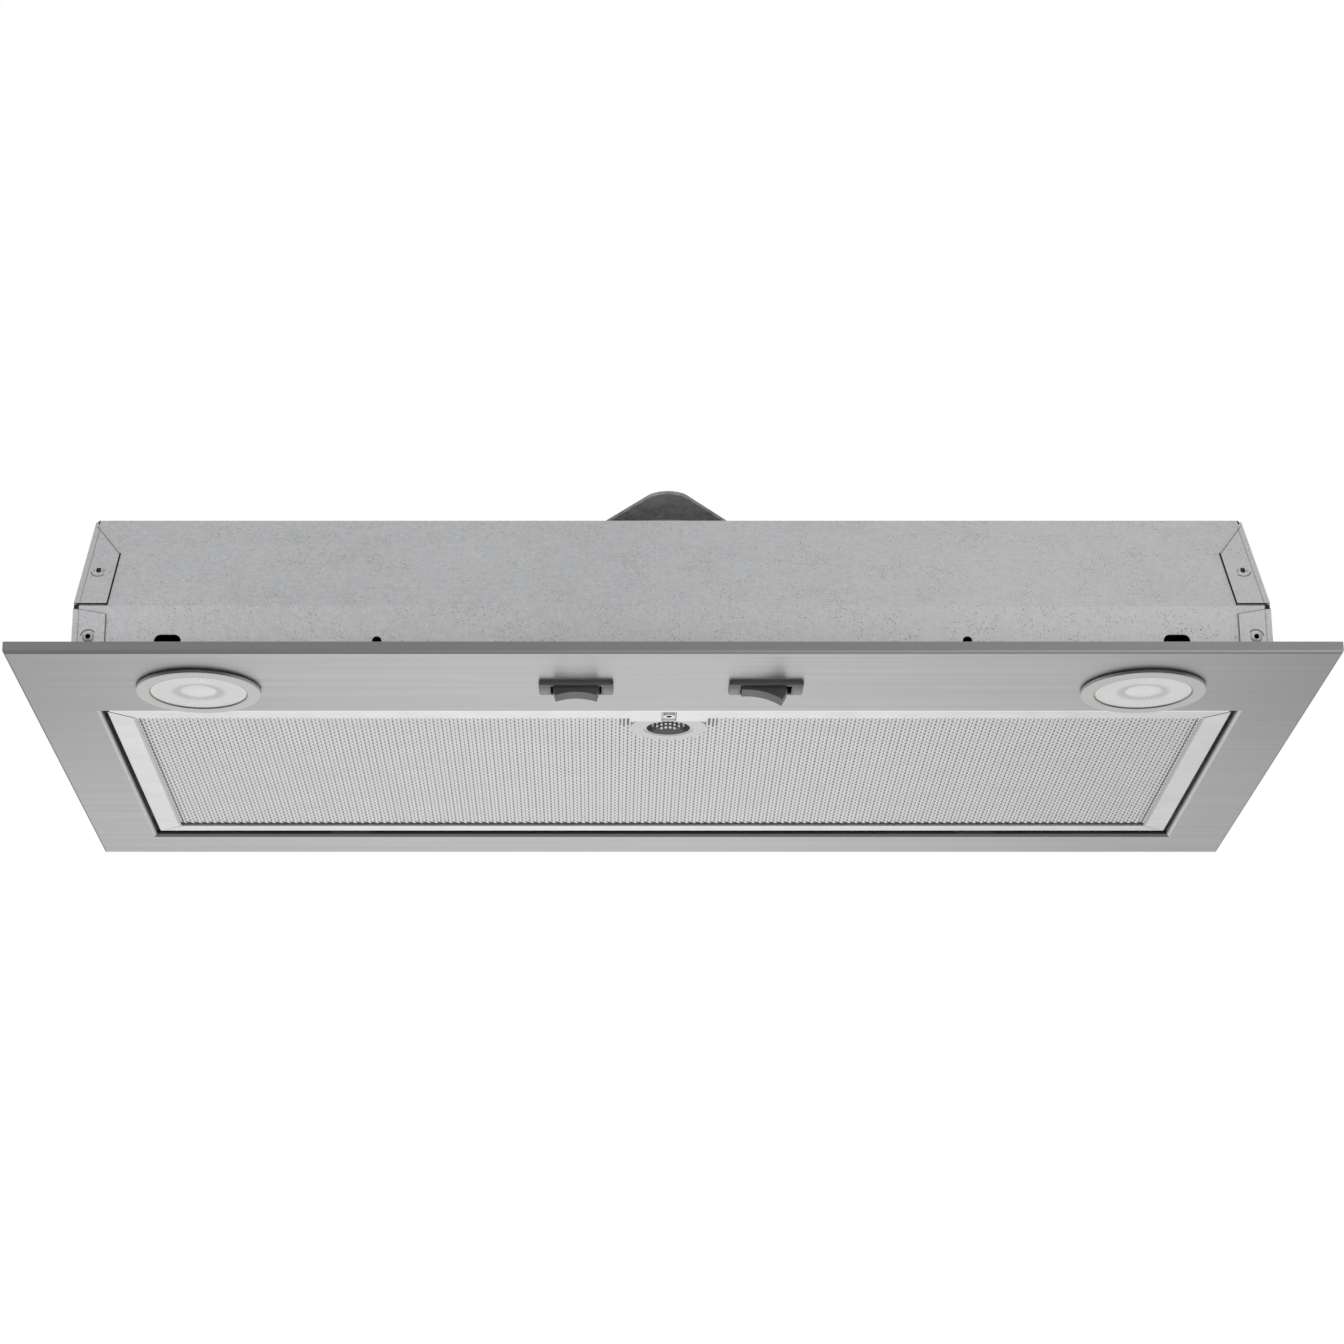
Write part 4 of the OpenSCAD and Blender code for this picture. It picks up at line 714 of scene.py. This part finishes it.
def bright_metal(name, dark, light, rough, metallic=1.0):
    """Plated or rolled metal with faint cloud and scuffs."""
    f = new_finish(name)
    scuffs = f.grained(SCUFF_SCALE, SCUFF)
    return f.surface(
        Base_Color=f.blend(f.tone(f.mixed(METAL_SHARES, f.cloudy(CLOUD), scuffs)), dark, light),
        Metallic=metallic,
        Roughness=rough + SCUFF_ROUGH * scuffs,
        Normal=f.bump(scuffs, *SCUFF_BUMP),
    )


def lamp_rim():
    """Lamp housing: a pale satin face with a seam round the lens, and a turned side with painted
    reflection, darker in the middle and paler at the flanks, and a painted black contact shadow next to
    the plate.
    """
    f = new_finish("lamp_silver")
    cloud = f.cloudy(CLOUD)
    low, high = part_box("right_lens")
    off_x = f.across() - (low.x + high.x) / 2
    off_y = f.axis("Y") - (low.y + high.y) / 2
    seam = f.line(f.length(off_x, off_y) - (high.x - low.x) / 2, LENS_SEAM_W) * LENS_SEAM_SHARE
    satin = f.blend(seam, f.blend(cloud, RIM_DARK, RIM_LIGHT), LENS_SEAM_GREY)
    # Painted reflection on the turned side, darker in the middle, and a painted black contact shadow next
    # to the plate
    flank = f.blend(f.ramp(off_x.absolute(), *FLANK_X), FLANK_DARK, FLANK_LIGHT)
    turned = f.blend(f.ramp(f.axis("Z"), *RIM_CONTACT_SHADOW_Z), RIM_CONTACT_SHADOW, flank)
    return f.surface(
        Base_Color=f.blend(f.faces_level(), turned, satin),
        Metallic=RIM_METAL,
        Roughness=RIM_ROUGH + RIM_CLOUD_ROUGH * cloud,
    )


def moulded_plastic(name, dark, light, rough):
    """Moulded plastic or rubber with a fine eroded grain."""
    f = new_finish(name)
    pores = f.cloudy(PLASTIC_PORES)
    return f.surface(
        Base_Color=f.blend(f.tone(f.cloudy(PLASTIC_CLOUD)), dark, light),
        Metallic=0.0,
        Roughness=rough + PORE_ROUGH * pores,
        Normal=f.bump(pores, *PORE_BUMP),
    )


def switch_bezel():
    """Switch bezel: dark gloss, with painted highlights at the ends beside the rocker."""
    f = new_finish("switch_bezel")
    pores = f.cloudy(PLASTIC_PORES)
    off_x = (f.across() - SWITCH_X).absolute()
    off_y = f.axis("Y") - SWITCH_Y
    # Painted highlight on the level faces at the bezel's ends
    highlight = f.ramp(off_x, *BEZEL_X) * f.ramp(off_y, *BEZEL_Y) * f.faces_level()
    return f.surface(
        Base_Color=f.blend(highlight * BEZEL_SHARE, BEZEL_DARK, BEZEL_HIGHLIGHT),
        Metallic=0.0,
        Roughness=BEZEL_ROUGH + PORE_ROUGH * pores,
        Normal=f.bump(pores, *PORE_BUMP),
    )


def latch_metal():
    """Latch bolt: plated, with a bright eyelet round a bore painted black as shade."""
    f = new_finish("latch_metal")
    scuffs = f.grained(SCUFF_SCALE, SCUFF)
    away = f.length(f.axis("X"), f.axis("Y") - EYELET_Y)
    plated = f.blend(f.tone(scuffs), PLATED_DARK, PLATED_LIGHT)
    plated = f.blend(f.ramp(away, EYELET_R + SOFT, EYELET_R), plated, EYELET_GREY)
    # Painted black shade in the bore
    bored = f.ramp(away, EYELET_BORE_R + 2 * SOFT, EYELET_BORE_R + SOFT)
    return f.surface(
        Base_Color=f.blend(bored, plated, BORE_GREY),
        Metallic=1 - BLACK_DULL * bored,
        Roughness=PLATED_ROUGH + SCUFF_ROUGH * scuffs,
    )


def rolled_rails():
    """Filter frame: bright rails with painted shade on the bevel beside the mesh, and dark mitres."""
    f = new_finish("rolled_rails")
    scuffs = f.grained(SCUFF_SCALE, SCUFF)
    rail = f.blend(f.tone(f.mixed(RAIL_SHARES, f.cloudy(CLOUD), scuffs)), RAIL_DARK, RAIL_LIGHT)
    in_x = filter_high.x - f.across()
    in_y = f.axis("Y") - filter_low.y
    mesh_rear = filter_high.y - filter_low.y - REAR_BAND
    # Painted shade on the bevel beside the mesh
    bevel = f.line(SIDE_BAND - in_x, BEVEL_W) * f.ramp(in_y, FRONT_BAND, FRONT_BAND + BEVEL_FRONT)
    bevel = bevel * f.ramp(in_y, mesh_rear, mesh_rear - BEVEL_REAR)
    mitre = f.line(in_y - in_x * (FRONT_BAND / SIDE_BAND) + MITRE_W / 2, MITRE_W)
    mitre = mitre * f.ramp(in_x, SIDE_BAND, SIDE_BAND - MITRE_END)
    rail = f.blend(bevel * BEVEL_SHARE, rail, BEVEL_GREY)
    return f.surface(
        Base_Color=f.blend(mitre, rail, MITRE_GREY),
        Metallic=1 - BLACK_DULL * mitre,
        Roughness=RAIL_ROUGH + SCUFF_ROUGH * scuffs,
        Normal=f.bump(scuffs, *SCUFF_BUMP),
    )


def punched_cup():
    """Finger recess: bright dots in a punched bowl with painted light and shade, and a painted shadow ring
    on the flat round it.
    """
    f = new_finish("punched_cup")
    low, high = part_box("finger_cup")
    centre = ((low.x + high.x) / 2, high.y - (high.x - low.x) / 2, 0)
    in_plan = (1, 1, 0)
    flat = f.vector("MULTIPLY", f.vector("SUBTRACT", f.place(), centre), in_plan)
    reach = f.vector("LENGTH", flat, output="Value")
    cell = f.vector("WRAP", flat, (DOT_PITCH, DOT_PITCH, DOT_PITCH), (0, 0, 0))
    in_cell = f.vector("SUBTRACT", cell, (DOT_PITCH / 2, DOT_PITCH / 2, 0))
    off = f.vector("LENGTH", f.vector("MULTIPLY", in_cell, in_plan), output="Value")
    dot_inner, dot_outer = DOT_EDGE
    dots = (1 - f.ramp(off, DOT_R * dot_inner, DOT_R * dot_outer)) * (1 - f.ramp(reach, *DOTS_REACH))
    bowl = 1 - f.ramp(reach, *BOWL_REACH)
    back = f.part(flat, "Y")
    # Painted light on the bowl's front, painted shade toward its rear
    punched = f.blend(f.ramp(back, *BOWL_DARK_Y), BOWL_LIT, BOWL_DARK)
    punched = f.blend(f.ramp(back, *BOWL_REAR_Y), punched, BOWL_REAR)
    punched = f.blend(dots, punched, DOT_GREY)
    # Painted shadow ring on the rear side of the flat round the bowl
    ring = f.line(reach - CUP_RING_R, CUP_RING_W) * f.ramp(back, *CUP_RING_Y)
    plain = f.blend(ring * CUP_RING_SHARE, CUP_GREY, CUP_RING_GREY)
    return f.surface(
        Base_Color=f.blend(bowl, plain, punched),
        Metallic=1 - BOWL_DULL * bowl,
        Roughness=CUP_ROUGH + BOWL_ROUGH * bowl,
    )


def shaded_sheet():
    """The filter's sheet behind the strands, painted dark as the shade where little light comes, and black
    toward the rear.
    """
    f = new_finish("shaded_sheet")
    cloud = f.cloudy(SHEET_CLOUD)
    shade_y = filter_high.y - REAR_BAND - REAR_SHADOW
    at_rear = f.ramp(f.axis("Y"), shade_y, shade_y + REAR_SHADOW / 2)
    return f.surface(
        Base_Color=f.blend(at_rear, f.blend(cloud, SHEET_DARK, SHEET_LIGHT), SHEET_REAR),
        Metallic=SHEET_METAL,
        Roughness=SHEET_ROUGH + SHEET_CLOUD_ROUGH * cloud,
    )


def dull_bracket():
    """Motor bracket: mottled zinc, darkened by painted shade."""
    f = new_finish("dull_bracket")
    mottle = f.cloudy(BRACKET_MOTTLE)
    tone = f.tone(f.mixed(BRACKET_SHARES, mottle, f.cloudy(BRACKET_BLOOM)))
    return f.surface(
        Base_Color=f.blend(tone, BRACKET_DARK, BRACKET_LIGHT),
        Metallic=BRACKET_METAL,
        Roughness=BRACKET_ROUGH + BRACKET_MOTTLE_ROUGH * mottle,
        Normal=f.bump(mottle, *BRACKET_BUMP),
    )


def frosted_lens(side):
    """Moulded white lens: radial ribs with painted shade, a ring of painted shade round its boss, and a
    faint glow as painted light.
    """
    f = new_finish(side + "_frosted_lens")
    low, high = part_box(side + "_lens")
    radius = (high.x - low.x) / 2
    flat = f.vector("MULTIPLY", f.vector("SUBTRACT", f.place(), tuple((low + high) / 2)), (1, 1, 0))
    reach = f.vector("LENGTH", flat, output="Value") * (1 / radius)
    turn = f.part(flat, "Y").math("ARCTAN2", f.part(flat, "X"))
    ribs = (turn * LENS_RIBS).math("COSINE") * 0.5 + 0.5
    ribbed = ribs * f.ramp(reach, *RIB_INNER) * f.ramp(reach, *RIB_OUTER)
    ring = f.ramp(reach, *RING_INNER) * f.ramp(reach, *RING_OUTER)
    cloud = f.cloudy(LENS_CLOUD)
    return f.surface(
        Base_Color=f.blend(
            ribbed * RIB_SHARE + ring * RING_SHARE, f.blend(cloud, LENS_DARK, LENS_LIGHT), LENS_SHADE
        ),
        Metallic=0.0,
        Roughness=LENS_ROUGH + LENS_CLOUD_ROUGH * cloud,
        Coat_Weight=LENS_COAT,
        # A faint glow that brightens the lens, painted light
        Emission_Color=LENS_GLOW,
        Emission_Strength=LENS_GLOW_STRENGTH,
    )


# Which finish each slot of the record takes, apart from the lenses' own; each metal and plastic has
# its dark tone, its light tone and its roughness
FINISHES = {
    "trim_steel": brushed_steel(),
    "galvanised": galvanised(),
    "bright_steel": bright_metal("plated_steel", 0.52, 0.72, 0.26),
    "filter_aluminium": bright_metal("rolled_aluminium", 0.86, 0.97, 0.3),
    "mesh_aluminium": bright_metal("expanded_aluminium", 0.77, 0.85, 0.34),
    "blower_aluminium": bright_metal("wheel_aluminium", (0.6, 0.6, 0.61), (0.78, 0.78, 0.79), 0.36),
    "damper_aluminium": bright_metal("flap_aluminium", (0.62, 0.63, 0.64), (0.78, 0.79, 0.8), 0.34),
    "bearing_bronze": bright_metal("sintered_bronze", (0.36, 0.22, 0.1), (0.55, 0.36, 0.18), 0.4),
    "terminal_brass": bright_metal("terminal_brass", (0.6, 0.45, 0.2), (0.8, 0.65, 0.34), 0.3),
    "earth_green": bright_metal("earth_green", (0.03, 0.2, 0.07), (0.06, 0.34, 0.13), 0.4, metallic=0.6),
    "lamp_silver": lamp_rim(),
    "black_rubber": moulded_plastic("black_rubber", 0.015, 0.03, 0.6),
    "capacitor_black": moulded_plastic("capacitor_black", 0.02, 0.035, 0.42),
    "block_white": moulded_plastic("block_white", (0.7, 0.7, 0.66), (0.8, 0.8, 0.77), 0.4),
    "ceramic_cream": moulded_plastic("ceramic_cream", (0.66, 0.62, 0.52), (0.76, 0.73, 0.64), 0.25),
    "switch_dark": switch_bezel(),
    "rocker_dark": moulded_plastic("rocker_dark", 0.045, 0.065, 0.24),
}


def dress(obj, material):
    obj.data.materials.clear()
    obj.data.materials.append(material)


def dress_nodes():
    """Gives each solid the finish of its slot, and then some of them one of their own."""
    nodes = frame["nodes"]
    for part in frame["record"]["subparts"]:
        if part["material_slot"] in FINISHES:
            dress(nodes[part["node"]], FINISHES[part["material_slot"]])
    dress(nodes["finger_cup"], punched_cup())
    dress(nodes["filter_mesh"], shaded_sheet())
    dress(nodes["filter_frame"], rolled_rails())
    dress(nodes["latch_bolt"], latch_metal())
    dress(nodes["motor_bracket"], dull_bracket())
    dress(nodes["body_shell"], seamed_zinc())
    dress(nodes["body_rivets"], holed_rivets())
    dress(nodes["left_side_panel"], panel_zinc_painted_shadows("left"))
    dress(nodes["right_side_panel"], panel_zinc_painted_shadows("right"))


# Pieces of the scene's own


def object_from(form, name, material):
    """Makes an object of a bmesh."""
    mesh = bpy.data.meshes.new(name)
    form.to_mesh(mesh)
    form.free()
    mesh.materials.append(material)
    made = bpy.data.objects.new(name, mesh)
    bpy.context.scene.collection.objects.link(made)
    return made


def piece_from(form, name, material, body, node):
    """Makes an object of a bmesh, that rides on a body and stands for a node."""
    made = object_from(form, name, material)
    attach(made, body)
    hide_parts(node)
    return made


def strand_width(x, y, edge_x, front_y):
    """Strands are narrower beside the rails and in the slits beside the finger recess."""
    if edge_x - abs(x) < EDGE_STRANDS * STRAND_PITCH:
        return EDGE_STRAND_W
    if LATCH_LAND < abs(x) < SLIT_REACH and y - front_y < SLIT_DEPTH:
        return SLIT_STRAND_W
    return STRAND_W


def expanded_mesh():
    """The filter's face: ridged zigzag strands that leave small gaps between them."""
    cup_low, cup_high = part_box("finger_cup")
    cup = Vector((0, cup_high.y - (cup_high.x - cup_low.x) / 2))
    edge_x = filter_high.x - SIDE_BAND
    front_y = filter_low.y + FRONT_BAND
    rear_y = filter_high.y - REAR_BAND - REAR_SHADOW
    columns = math.ceil(2 * edge_x / STRAND_PITCH)
    rows = round((rear_y - front_y) / STRAND_STEP) + 2
    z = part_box("filter_mesh")[0].z - STRAND_GAP
    form = bmesh.new()
    for column in range(columns):
        middle = (column - (columns - 1) / 2) * STRAND_PITCH
        middle += STRAND_PAIRING if column % 2 else -STRAND_PAIRING
        before = None
        for row in range(rows + column % 2):
            y = front_y + (row - 1) * STRAND_STEP
            width = strand_width(middle, y, edge_x, front_y)
            swing = 0 if width == SLIT_STRAND_W else STRAND_SWING
            x = middle + (swing if (row + column) % 2 else -swing)
            on_land = abs(x) < LATCH_LAND and y < filter_low.y + LATCH_BAND
            if on_land or (Vector((x, y)) - cup).length < LATCH_LAND:
                before = None
                continue
            across = (
                form.verts.new((x - width / 2, y, z)),
                form.verts.new((x, y, z - STRAND_RIDGE)),
                form.verts.new((x + width / 2, y, z)),
            )
            if before:
                form.faces.new((before[0], before[1], across[1], across[0]))
                form.faces.new((before[1], before[2], across[2], across[1]))
            before = across
    strands = object_from(form, "filter_strands", FINISHES["mesh_aluminium"])
    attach(strands, "filter")


def lens_height(share, turn):
    """How far the lens stands back from its lowest point, at a share of its radius."""
    if share <= LENS_BOSS:
        return LENS_BOSS_H * (share / LENS_BOSS) ** 2
    if share < LENS_GROOVE_END:
        return LENS_GROOVE_H
    if share >= LENS_RIM:
        return LENS_FACE_H
    return LENS_FACE_H + LENS_RIB_H * (0.5 + 0.5 * math.cos(LENS_RIBS * turn))


def ribbed_lens(side):
    """A lens with radial ribs round a smooth boss and groove."""
    low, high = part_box(side + "_lens")
    centre = (low + high) / 2
    radius = (high.x - low.x) / 2
    around = LENS_RIBS * LENS_STEPS
    turns = [2 * math.pi * step / around for step in range(around)]
    form = bmesh.new()

    def ring(share, heights):
        reach = share * radius
        return [
            form.verts.new((centre.x + reach * math.cos(turn), centre.y + reach * math.sin(turn), z))
            for turn, z in zip(turns, heights)
        ]

    loops = [ring(share, [low.z + lens_height(share, turn) for turn in turns]) for share in LENS_RINGS]
    loops.append(ring(1, [high.z] * around))
    for inner, outer in zip(loops, loops[1:]):
        for i in range(around):
            j = (i + 1) % around
            form.faces.new((inner[i], inner[j], outer[j], outer[i]))
    form.faces.new(loops[0])
    form.faces.new(list(reversed(loops[-1])))
    bmesh.ops.recalc_face_normals(form, faces=form.faces)
    for face in form.faces:
        face.smooth = True
    name = side + "_ribbed_lens"
    piece_from(form, name, frosted_lens(side), side + "_lamp_body", side + "_lens")


def short_spring():
    """The latch's flat spring, as a copy of its solid that rides on the filter and has a mesh of its own.
    """
    form = bmesh.new()
    form.from_mesh(frame["nodes"]["latch_spring"].data)
    made = piece_from(
        form, "flat_spring", FINISHES["bright_steel"], "filter", "latch_spring"
    )
    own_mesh(made)


# Stage


def flat_square(name, half, material):
    form = bmesh.new()
    bmesh.ops.create_grid(form, x_segments=1, y_segments=1, size=half)
    return object_from(form, name, material)


def pale_floor():
    """Floor far below the object, that glows a little to the camera and is clear from underneath."""
    f = new_finish("pale_floor")
    seen = f.node("ShaderNodeLightPath", {}, output="Is Camera Ray")
    mirrored = f.node("ShaderNodeLightPath", {}, output="Is Glossy Ray")
    to_right = f.ramp(f.axis("X"), 0, SHINE_REACH)
    to_left = f.ramp(f.axis("X"), 0, -SHINE_REACH)
    shine = FLOOR_SHINE - RIGHT_FALL * to_right - LEFT_FALL * to_left
    top_face = f.node(
        "ShaderNodeBsdfPrincipled", {},
        Base_Color=FLOOR_GREY,
        Roughness=FLOOR_ROUGH,
        Emission_Color=f.blend(seen * FLOOR_GLOW + mirrored * shine, 0.0, 1.0),
        Emission_Strength=1.0,
    )
    clear = f.node("ShaderNodeBsdfTransparent", {})
    f.show(f.node("ShaderNodeMixShader", {}, f.geometry("Backfacing"), top_face, clear))
    floor = flat_square("pale_floor", FLOOR_REACH, f.owner)
    floor.location.z = FLOOR_Z


def aim(obj, place, target):
    obj.location = place
    obj.rotation_euler = (Vector(target) - Vector(place)).to_track_quat("-Z", "Y").to_euler()


def dark_card(name, place, target, width, height, tone):
    """A card that only metal sees, for the dark band along the plate's lip."""
    card = flat_square(name, 0.5, new_finish(name).surface(Base_Color=tone, Roughness=1.0))
    card.scale = (width, height, 1)
    aim(card, place, target)
    card.visible_camera = False
    card.visible_diffuse = False
    card.visible_shadow = False


def plain_world():
    """White to the camera and through clear faces, and softer where it lights the object."""
    world = bpy.data.worlds.new("plain_world")
    bpy.context.scene.world = world
    f = Finish(world)
    seen = f.node("ShaderNodeLightPath", {}, output="Is Camera Ray")
    through = f.node("ShaderNodeLightPath", {}, output="Is Transmission Ray")
    light = f.node("ShaderNodeBackground", {}, Color=1.0, Strength=WORLD_LIGHT)
    white = f.node("ShaderNodeBackground", {}, Color=1.0, Strength=1.0)
    mixed = f.node("ShaderNodeMixShader", {}, seen.at_least(through), light, white)
    f.show(mixed, "ShaderNodeOutputWorld")


def softbox(name, place, target, width, height, watts):
    lamp = bpy.data.lights.new(name, "AREA")
    lamp.shape = "RECTANGLE"
    lamp.size = width
    lamp.size_y = height
    lamp.energy = watts
    box = bpy.data.objects.new(name, lamp)
    aim(box, place, target)
    bpy.context.scene.collection.objects.link(box)


def photo_camera():
    data = bpy.data.cameras.new("photo_camera")
    data.sensor_width = SENSOR
    data.lens = FOCAL_PIXELS * SENSOR / PICTURE_SIDE
    data.shift_x = CAMERA_SHIFT
    data.clip_end = CAMERA_REACH
    camera = bpy.data.objects.new("photo_camera", data)
    camera.location = CAMERA_PLACE
    camera.rotation_euler = (math.radians(CAMERA_LEVEL + CAMERA_PITCH), 0, 0)
    bpy.context.scene.collection.objects.link(camera)
    bpy.context.scene.camera = camera


dress_nodes()
expanded_mesh()
ribbed_lens("left")
ribbed_lens("right")
short_spring()
pale_floor()
plain_world()
softbox("key_softbox", place=(-0.9, -1.6, 0.9), target=(0, 0, 0), width=1.4, height=1.0, watts=5)
softbox("fill_softbox", place=(1.1, -1.5, -0.1), target=(0, 0, 0.02), width=1.0, height=1.0, watts=2.2)
dark_card("lip_card", place=(0, -2.2, 0.62), target=(0, 0, 0), width=4.0, height=0.5, tone=0.03)
photo_camera()
bpy.context.scene.view_settings.view_transform = "Standard"
